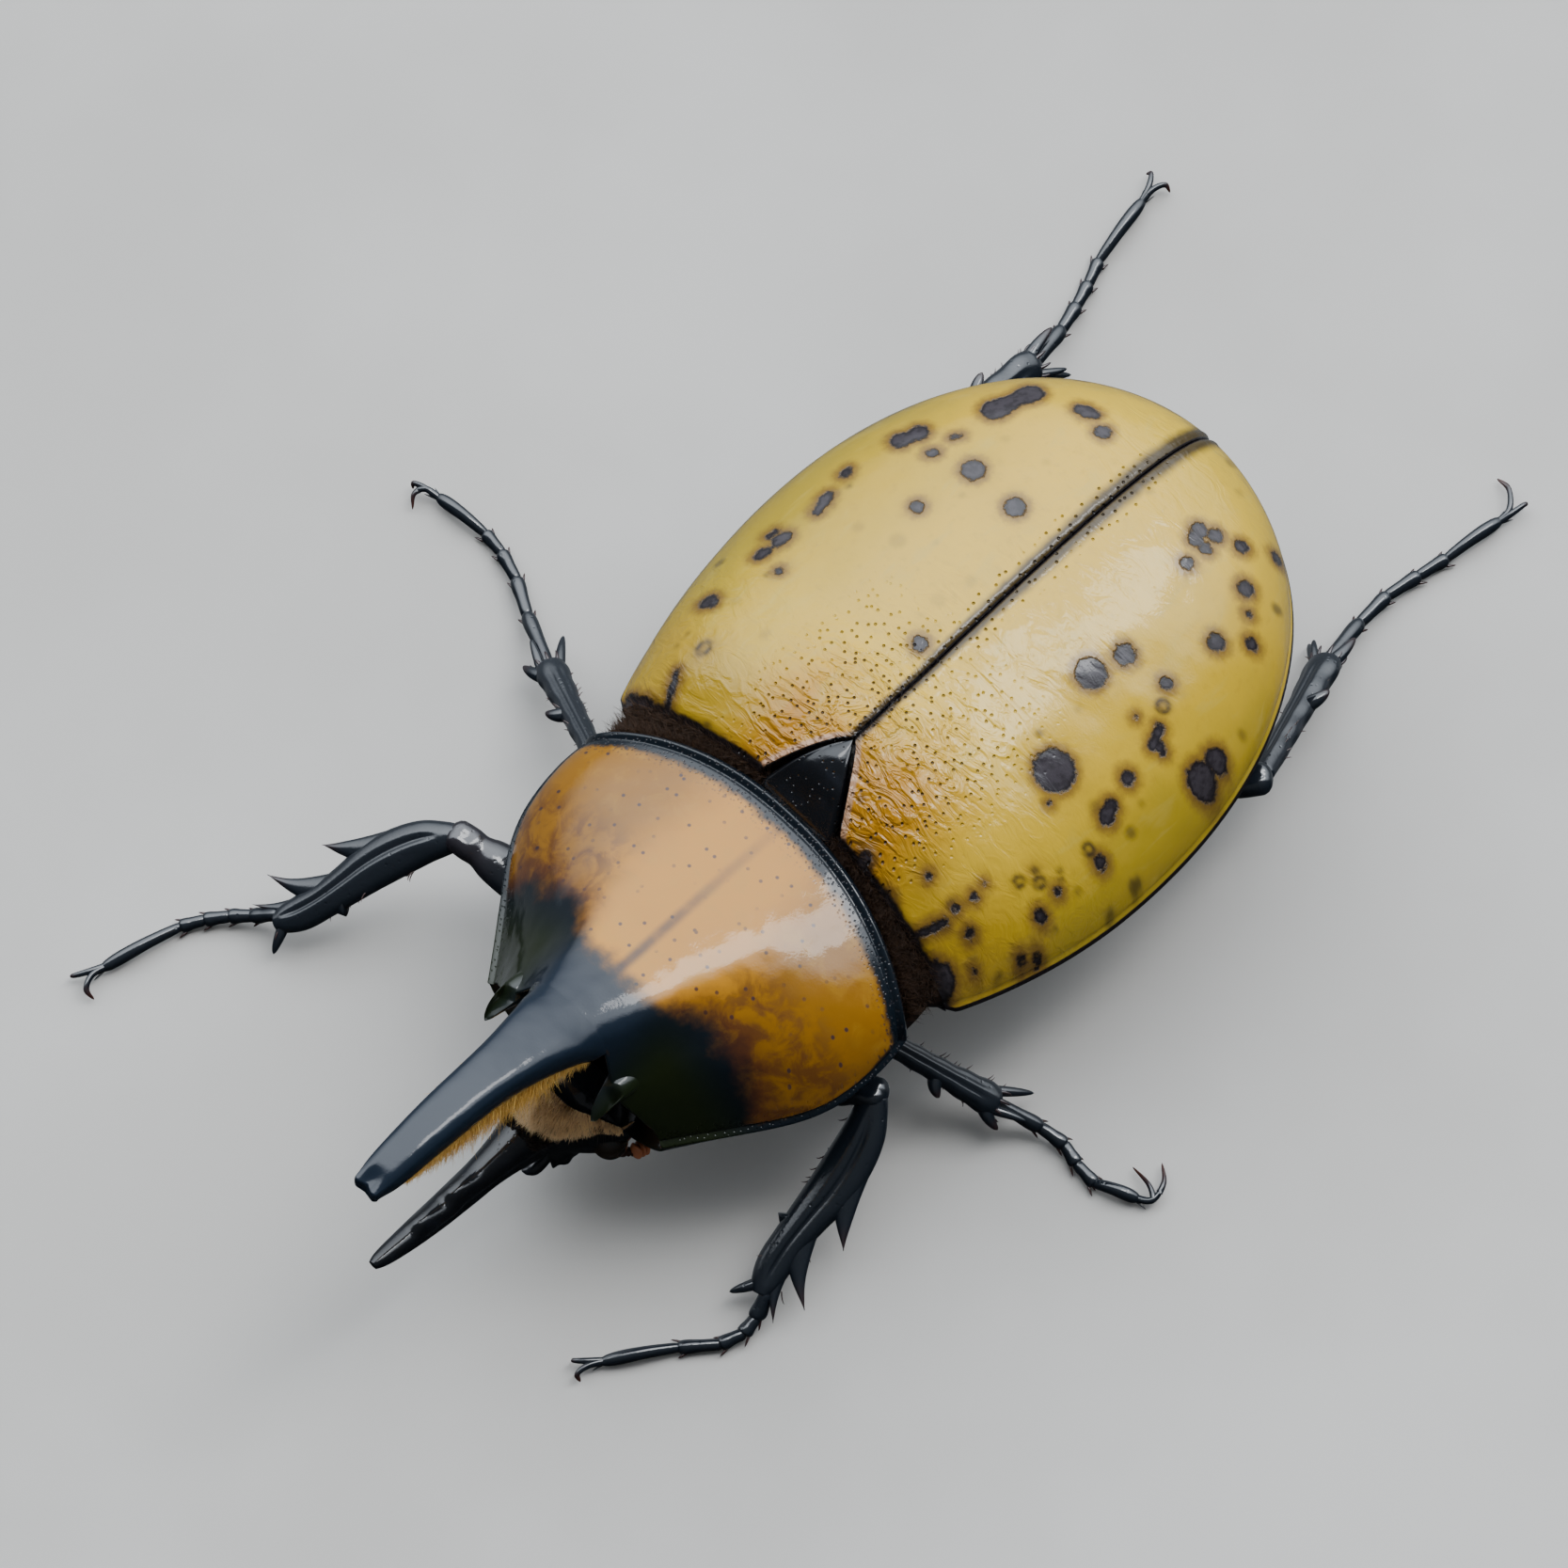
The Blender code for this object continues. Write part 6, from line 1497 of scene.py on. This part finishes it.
class Paint(Nodes):
    """A material's node tree with words for its patterns, colours and relief."""

    def __init__(self, name):
        self.material = bpy.data.materials.new(name)
        self.material.use_nodes = True
        super().__init__(self.material.node_tree)
        self.shader = self.tree.nodes["Principled BSDF"]
        spot = self.node("ShaderNodeTexCoord").outputs["Object"]
        to_mm = self.node("ShaderNodeVectorMath", {0: spot, "Scale": 1 / MM}, operation="SCALE")
        self.place = to_mm.outputs[0]

    def mark(self, name):
        return self.node("ShaderNodeAttribute", attribute_name=name).outputs["Fac"]

    def noise(self, scale, detail=3.0, roughness=0.55, distortion=0.0, stretch=None):
        vector = self.place
        if stretch:
            stretched = self.node("ShaderNodeVectorMath", {0: vector, 1: stretch}, operation="MULTIPLY")
            vector = stretched.outputs[0]
        made = self.node("ShaderNodeTexNoise", {"Vector": vector, "Scale": scale, "Detail": detail,
                                                "Roughness": roughness, "Distortion": distortion})
        return made.outputs["Fac"]

    def cells(self, scale, randomness=1.0, flat=False):
        made = self.node("ShaderNodeTexVoronoi", {"Vector": self.place, "Scale": scale,
                                                  "Randomness": randomness})
        made.voronoi_dimensions = "2D" if flat else "3D"
        return made.outputs["Distance"]

    def ragged(self, value, noise, amount):
        """The value, pushed to and fro by a noise of this amount."""
        return self.math("ADD", value, self.times(self.math("SUBTRACT", noise, 0.5), amount))

    def layered(self, colour, *layers):
        """Colours laid over the first one, each with its share."""
        for share, tint in layers:
            made = self.node("ShaderNodeMix", data_type="RGBA")
            self.feed(made.inputs[0], share)
            for socket, value in ((made.inputs[6], colour), (made.inputs[7], tint)):
                self.feed(socket, (*value, 1.0) if isinstance(value, tuple) else value)
            colour = made.outputs[2]
        return colour

    def relief(self, *layers):
        """Bumps laid over each other: height, depth in millimetres and strength."""
        normal = None
        for height, depth, strength in layers:
            made = self.node("ShaderNodeBump", {"Height": height, "Strength": strength,
                                                "Distance": depth * MM})
            if normal:
                self.feed(made.inputs["Normal"], normal)
            normal = made.outputs["Normal"]
        return normal

    def finish(self, colour, roughness, normal=None, coat=0.0, coat_roughness=0.05, specular=0.2):
        self.feed(self.shader.inputs["Base Color"], colour)
        self.feed(self.shader.inputs["Roughness"], roughness)
        self.shader.inputs["Specular IOR Level"].default_value = specular
        self.shader.inputs["Coat Weight"].default_value = coat
        self.shader.inputs["Coat Roughness"].default_value = coat_roughness
        if normal:
            self.feed(self.shader.inputs["Normal"], normal)
            self.feed(self.shader.inputs["Coat Normal"], normal)
        return self.material


CREAM = (0.74, 0.46, 0.03)
MUSTARD = (0.60, 0.38, 0.018)
OLIVE = (0.40, 0.28, 0.016)
AMBER = (0.46, 0.2, 0.004)
SPOT = (0.014, 0.011, 0.013)
SPOT_MIDDLE = (0.045, 0.038, 0.045)
# Painted pinkish highlight for the raised lips beside the scutellum
LIP_HIGHLIGHT_PINK = (0.5, 0.3, 0.2)
BROWN_HALO = (0.15, 0.075, 0.02)
BLACK = (0.006, 0.007, 0.009)
BLUE_BLACK = (0.005, 0.009, 0.014)
# Painted bluish sky reflection on the black thoracic horn
HORN_REFLECTION_BLUE = (0.009, 0.016, 0.028)
BASE_OCHRE = (0.40, 0.24, 0.012)
APEX_OLIVE = (0.43, 0.32, 0.02)
CLOUD_BROWN = (0.36, 0.22, 0.02)
STREAK_YELLOW = (0.55, 0.42, 0.09)
PIT_BROWN = (0.06, 0.035, 0.015)
DISC_AMBER = (0.55, 0.23, 0.01)
SIDE_AMBER = (0.27, 0.115, 0.006)
MOTTLE_GOLD = (0.46, 0.24, 0.02)
FLANK_BROWN = (0.1, 0.032, 0.01)
MIDLINE_BROWN = (0.07, 0.035, 0.025)
SPECK_BROWN = (0.03, 0.02, 0.03)
BORDER_BROWN = (0.09, 0.028, 0.01)
# Painted greenish reflection of the surroundings on the dark front flanks of the prothorax
REFLECTED_GREEN_BLACK = (0.012, 0.018, 0.003)
# Painted brown-black shade inside the prothorax's front cavity
CAVITY_SHADE_BROWN = (0.035, 0.023, 0.016)
STIPPLE_BLACK = (0.02, 0.02, 0.025)
SHEEN_BLUE = (0.012, 0.015, 0.022)
TIP_RED = (0.09, 0.022, 0.01)
LEG_BLACK = (0.009, 0.013, 0.019)
ANTENNA_BROWN = (0.04, 0.014, 0.007)
CLUB_ORANGE = (0.45, 0.15, 0.06)
BELLY_DARK, BELLY_BROWN = (0.012, 0.006, 0.005), (0.035, 0.015, 0.008)
EYE_BLACK, EYE_BROWN = (0.006, 0.005, 0.005), (0.03, 0.02, 0.012)
FLOOR_GREY, FLOOR_PALE = (0.52, 0.5, 0.47), (0.58, 0.56, 0.53)
HAIR_SHADE = (0.02, 0.012, 0.008)
LEG_COAT_IOR = 1.75
# Hair: the colour of its roots and of its tips
GOLDEN_HAIR = ((0.6, 0.3, 0.035), (1.0, 0.68, 0.18))
TAN_HAIR = ((0.36, 0.17, 0.06), (1.0, 0.75, 0.42))
BLACK_HAIR = ((0.008, 0.006, 0.005), (0.03, 0.018, 0.01))
BROWN_HAIR = ((0.01, 0.005, 0.004), (0.06, 0.03, 0.014))


def wing_ink(p, along, suture, reach):
    """Where a wing case is black: in its spots, beside the seam, and along its rim and front edge."""
    widening = p.math("DIVIDE", p.ragged(suture, p.noise(0.9), 0.3), p.span(along, 0.0, 24.0, 0.55, 1.15))
    seam = p.most(p.span(suture, 0.14, 0.07), p.span(widening, 0.95, 0.35, 0.0, 0.92))
    behind_scutellum = p.most(p.span(along, -0.6, 0.2), p.span(suture, 0.1, 0.06))
    front = p.ragged(p.mark("base"), p.noise(1.3, 4.0), 0.6)
    return p.most(p.span(reach, 0.08, -0.12), p.mark("pale_spot"), p.times(seam, behind_scutellum),
                  p.span(p.mark("rim"), 0.2, 0.08), p.span(front, 0.5, 0.15))


def wing_paint():
    """Yellow chitin with dark ragged spots in brown halos, with pits and wrinkles near the base, and a
    painted pinkish highlight on the raised lips beside the scutellum.
    """
    p = Paint("wing_case_chitin")
    along, sideways, suture = (p.mark(name) for name in ("along", "sideways", "suture"))
    cloud = p.noise(0.28)
    streak = p.noise(0.9, 4.0, distortion=0.6, stretch=(1.0, 0.3, 1.0))
    cloudy_side, cloudy_run = p.ragged(sideways, cloud, 0.25), p.ragged(along, cloud, 5.0)
    reach = p.ragged(p.mark("spot"), p.noise(2.6, 5.0, 0.7), 0.55)
    halo = p.times(p.mark("halo"), p.span(p.noise(1.4), 0.3, 0.7, 0.35, 0.7))
    cells = p.cells(1.55, 0.85, flat=True)
    near_base = p.times(p.span(along, 10.0, 2.0), p.span(sideways, 0.58, 0.3))
    near_seam = p.times(p.span(suture, 1.3, 0.9), p.span(along, 26.0, 20.0, 0.0, 0.7))
    pitted = p.times(p.most(near_base, near_seam), p.span(p.noise(0.55), 0.38, 0.52, 0.12, 1.0))
    colour = p.layered(
        CREAM,
        (p.span(cloudy_side, 0.3, 0.72), MUSTARD),
        (p.span(cloudy_side, 0.68, 1.0), OLIVE),
        (p.times(p.span(cloudy_run, 5.5, -1.5), p.span(sideways, 0.62, 0.3)), AMBER),
        (p.times(p.span(cloudy_run, 2.0, -3.0), p.span(sideways, 0.3, 0.6), 0.6), BASE_OCHRE),
        (p.span(along, 20.0, 28.0, 0.0, 0.45), APEX_OLIVE),
        (p.span(p.noise(1.6, 4.0), 0.52, 0.8, 0.0, 0.25), CLOUD_BROWN),
        (p.span(streak, 0.55, 0.75, 0.0, 0.3), STREAK_YELLOW),
        (p.most(halo, p.span(reach, 0.72, 0.0, 0.0, 0.85)), BROWN_HALO),
        (p.times(p.span(cells, 0.15, 0.1), pitted, 0.85), PIT_BROWN),
        # Painted pinkish highlight on the raised lips beside the scutellum
        (p.times(p.span(suture, 0.55, 0.35), p.span(along, 0.3, -0.4), 0.8), LIP_HIGHLIGHT_PINK),
        (wing_ink(p, along, suture, reach), SPOT),
        (p.times(p.span(reach, -0.1, -0.3), p.span(p.noise(2.2), 0.35, 0.6, 0.4, 1.0)), SPOT_MIDDLE),
    )
    folds = p.times(p.noise(0.8, 3.0, 0.5, 1.6, stretch=(0.6, 1.3, 0.8)),
                    p.span(along, 8.0, 0.5, 0.12, 1.0), p.span(sideways, 0.55, 0.15, 0.16, 1.0))
    height = p.math("SUBTRACT", folds, p.times(p.span(cells, 0.17, 0.02), pitted, 0.45),
                    p.times(p.span(reach, 0.05, -0.1), 0.08))
    normal = p.relief((p.noise(0.22, 2.0, 0.45), 0.9, 0.35), (height, 0.85, 0.85),
                      (p.noise(9.0, 2.0), 0.012, 0.4))
    roughness = p.span(p.noise(2.0), 0.3, 0.7, 0.34, 0.46)
    return p.finish(colour, roughness, normal, coat=1.0, coat_roughness=0.07, specular=0.1)


def shield_paint():
    """Amber chitin, mottled and browner at the flanks, black in front and along its edges, with painted shade
    inside its cavity, a painted bluish reflection on the horn and a painted greenish reflection on the dark
    front flanks.
    """
    p = Paint("shield_chitin")
    sideways, along, edge, cavity = (p.mark(name) for name in ("sideways", "along", "edge", "cavity"))
    mottle = p.noise(0.75, 5.0, 0.6, 0.5)
    cloudy_side = p.math("ADD", sideways, p.times(p.noise(0.25), 3.0))
    lifted = p.times(p.span(sideways, 1.8, 4.6, 0.0, 1.7), p.span(sideways, 10.5, 7.5, 0.3, 1.0))
    line = p.math("SUBTRACT", p.ragged(along, p.noise(0.55, 4.0, 0.6), 2.6), lifted)
    border = p.ragged(edge, p.noise(1.2, 4.0, 0.7), 0.8)
    band = p.math("DIVIDE", border, p.span(along, -13.0, -8.0, 0.75, 1.45))
    # Black at the front, on the underside and along the margins, and painted shade inside the cavity
    dark = p.most(p.span(line, -16.9, -18.8), cavity, p.mark("under"), p.span(band, 1.15, 0.75))
    flank = p.times(p.span(sideways, 3.0, 6.0), p.span(along, -10.0, -13.5), p.span(mottle, 0.4, 0.62), 0.8)
    midline = p.times(p.span(sideways, 0.5, 0.05), p.span(along, -6.0, -17.0, 0.3, 0.9),
                      p.span(p.noise(0.6), 0.3, 0.6, 0.7, 1.0))
    speck = p.times(p.span(p.cells(0.72, flat=True), 0.1, 0.05), p.span(along, -19.0, -17.5),
                    p.span(p.noise(0.45), 0.38, 0.55, 0.1, 0.85))
    brown = p.times(p.span(line, -15.6, -17.9), p.span(mottle, 0.35, 0.6, 0.55, 0.95),
                    p.span(sideways, 2.0, 4.0))
    dots = p.cells(3.4, flat=True)
    stipple = p.times(p.span(dots, 0.26, 0.16), p.span(border, 2.3, 1.0), p.span(along, -14.0, -10.0), 0.85)
    colour = p.layered(
        DISC_AMBER,
        (p.span(cloudy_side, 3.6, 8.2), SIDE_AMBER),
        (p.span(mottle, 0.45, 0.75, 0.0, 0.35), MOTTLE_GOLD),
        (flank, FLANK_BROWN),
        (midline, MIDLINE_BROWN),
        (speck, SPECK_BROWN),
        (brown, BORDER_BROWN),
        (dark, BLUE_BLACK),
        # Painted bluish sky reflection on the horn
        (p.times(dark, p.span(along, -16.0, -20.0), p.span(sideways, 4.0, 2.0)), HORN_REFLECTION_BLUE),
        # Painted greenish reflection on the dark front flanks
        (p.times(dark, p.span(along, -16.5, -19.5), p.span(sideways, 2.5, 5.0), 0.85), REFLECTED_GREEN_BLACK),
        # Painted brown shade inside the cavity
        (p.times(cavity, 0.85), CAVITY_SHADE_BROWN),
        (stipple, STIPPLE_BLACK),
    )
    pits = p.times(p.span(dots, 0.24, 0.05), p.span(edge, 2.1, 1.0), -1.0)
    normal = p.relief((p.noise(0.3, 2.0), 0.5, 0.3), (pits, 0.05, 0.6), (p.noise(7.0, 2.0), 0.012, 0.4))
    return p.finish(colour, 0.32, normal, coat=1.0, coat_roughness=0.035, specular=0.1)


def black_paint(name, roughness, pit_scale, pit_depth, coat_roughness=0.08, tint=BLACK, specular=0.15,
                tip_tint=TIP_RED):
    """Glossy black chitin with scattered pits, redder where the mark of the tips is."""
    p = Paint(name)
    sheen = p.span(p.noise(0.9), 0.45, 0.75, 0.0, 0.5)
    colour = p.layered(tint, (sheen, SHEEN_BLUE), (p.times(p.mark("tip"), 0.8), tip_tint))
    pits = p.times(p.span(p.cells(pit_scale), 0.24, 0.05), p.span(p.noise(0.6, 2.0), 0.42, 0.6), -1.0)
    normal = p.relief((pits, pit_depth, 0.7), (p.noise(5.0), 0.02, 0.4))
    return p.finish(colour, roughness, normal, coat=1.0, coat_roughness=coat_roughness, specular=specular)


def belly_paint():
    p = Paint("belly_chitin")
    colour = p.layered(BELLY_DARK, (p.span(p.noise(0.6, 4.0), 0.4, 0.7), BELLY_BROWN))
    return p.finish(colour, 0.42, p.relief((p.cells(4.0), 0.05, 0.5)), coat=0.3, coat_roughness=0.25)


def hair_paint(name, root, tip):
    p = Paint(name)
    patchy = p.span(p.noise(0.8), 0.5, 0.8, 0.0, 0.35)
    colour = p.layered(root, (p.mark("tone"), tip), (p.times(p.mark("tip"), 0.4), tip), (patchy, root),
                       (p.mark("dark"), HAIR_SHADE))
    return p.finish(colour, 0.55, specular=0.35)


def eye_paint():
    p = Paint("eye_facets")
    facets = p.cells(9.0, 0.3)
    return p.finish(p.layered(EYE_BLACK, (facets, EYE_BROWN)), 0.15, p.relief((facets, 0.02, 0.5)), coat=1.0)


def floor_paint():
    p = Paint("pale_floor")
    colour = p.layered(FLOOR_GREY, (p.span(p.noise(0.03, 4.0), 0.35, 0.7), FLOOR_PALE))
    return p.finish(colour, 0.7, p.relief((p.noise(1.2, 4.0), 0.02, 0.3)), specular=0.3)


def camera_axes():
    azimuth, elevation = math.radians(CAMERA_AZIMUTH), math.radians(CAMERA_ELEVATION)
    back = Vector((math.sin(azimuth) * math.cos(elevation), -math.cos(azimuth) * math.cos(elevation),
                   math.sin(elevation)))
    right = Vector((math.cos(azimuth), math.sin(azimuth), 0.0))
    return back, right, back.cross(right)


def in_scene(name, data):
    """A new object of this data in the scene."""
    made = bpy.data.objects.new(name, data)
    bpy.context.scene.collection.objects.link(made)
    return made


def make_camera():
    """The photograph's camera, with its axis through the picture's middle."""
    back, right, up = camera_axes()
    aside = (AIM_PIXEL[0] - PHOTO_SIZE / 2) / PIXELS_PER_MM
    above = (PHOTO_SIZE / 2 - AIM_PIXEL[1]) / PIXELS_PER_MM
    place = Vector(AIM_POINT) + back * CAMERA_DISTANCE - right * aside - up * above
    data = bpy.data.cameras.new("photo_camera")
    data.sensor_width = SENSOR
    data.lens = SENSOR * PIXELS_PER_MM * CAMERA_DISTANCE / PHOTO_SIZE
    data.clip_start = 0.01
    data.clip_end = 10.0
    camera = in_scene("photo_camera", data)
    camera.location = place * MM + Vector(ORIGIN)
    camera.rotation_euler = back.to_track_quat("Z", "Y").to_euler()
    bpy.context.scene.camera = camera


def make_panel():
    """A long soft light whose reflection runs over the wing cases."""
    data = bpy.data.lights.new("bright_panel", "AREA")
    data.shape = "RECTANGLE"
    data.size, data.size_y = (length * MM for length in PANEL_SIZE)
    data.energy = PANEL_POWER
    light = in_scene("bright_panel", data)
    light.location = Vector(PANEL_PLACE) * MM + Vector(ORIGIN)
    aim = Vector(PANEL_AIM) * MM + Vector(ORIGIN)
    light.rotation_euler = (light.location - aim).to_track_quat("Z", "Y").to_euler()


def make_sky():
    """A soft sky, bright behind the beetle, dim on the camera's side and dark below."""
    world = bpy.data.worlds.new("studio")
    world.use_nodes = True
    sky = Nodes(world.node_tree)
    way = sky.node("ShaderNodeTexCoord").outputs["Generated"]
    azimuth = math.radians(CAMERA_AZIMUTH)
    far_side = (-math.sin(azimuth), math.cos(azimuth), SKY_TILT)
    toward = sky.node("ShaderNodeVectorMath", {0: way, 1: far_side}, operation="DOT_PRODUCT").outputs["Value"]
    height = sky.node("ShaderNodeSeparateXYZ", {0: way}).outputs["Z"]
    level = sky.times(sky.span(toward, *SKY_EDGE, *SKY_LEVELS),
                      sky.span(height, *GROUND_EDGE, GROUND_LEVEL, 1.0, smooth=False))
    background = sky.tree.nodes["Background"]
    sky.feed(background.inputs["Strength"], level)
    background.inputs["Color"].default_value = SKY_COLOUR
    bpy.context.scene.world = world


def make_stage():
    """The floor, the sky and the panel."""
    mesh = bpy.data.meshes.new("floor")
    corners = [(x * FLOOR_REACH, y * FLOOR_REACH, 0) for x, y in ((-1, -1), (1, -1), (1, 1), (-1, 1))]
    mesh.from_pydata(corners, [], [(0, 1, 2, 3)])
    mesh.materials.append(floor_paint())
    floor = in_scene("floor", mesh)
    # Black chitin that mirrored the pale floor would look grey
    floor.visible_glossy = False
    make_sky()
    make_panel()


def build():
    wing = wing_paint()
    black = black_paint("horn_chitin", 0.24, 3.0, 0.03)
    leg = black_paint("leg_chitin", 0.3, 2.2, 0.025, 0.07, LEG_BLACK, specular=0.25)
    leg.node_tree.nodes["Principled BSDF"].inputs["Coat IOR"].default_value = LEG_COAT_IOR
    brown = black_paint("antenna_chitin", 0.35, 5.0, 0.02, 0.2, ANTENNA_BROWN, tip_tint=CLUB_ORANGE)
    for side in SIDES:
        make_wing_case(side, wing)
        make_head_parts(side, eye_paint(), black, brown)
    make_scutellum(black_paint("scutellum_chitin", 0.24, 2.8, 0.3))
    make_hind_body(belly_paint())
    make_shield(shield_paint())
    make_head(black)
    for name in LEGS:
        make_leg(name, leg)
    make_brush(hair_paint("golden_hair", *GOLDEN_HAIR))
    tan = hair_paint("tan_hair", *TAN_HAIR)
    make_face(tan)
    make_face_hair(tan)
    make_fringe(hair_paint("black_hair", *BLACK_HAIR))
    cleft = hair_paint("brown_hair", *BROWN_HAIR)
    make_cleft(cleft)
    make_cleft_hair(cleft)
    make_camera()
    make_stage()


build()
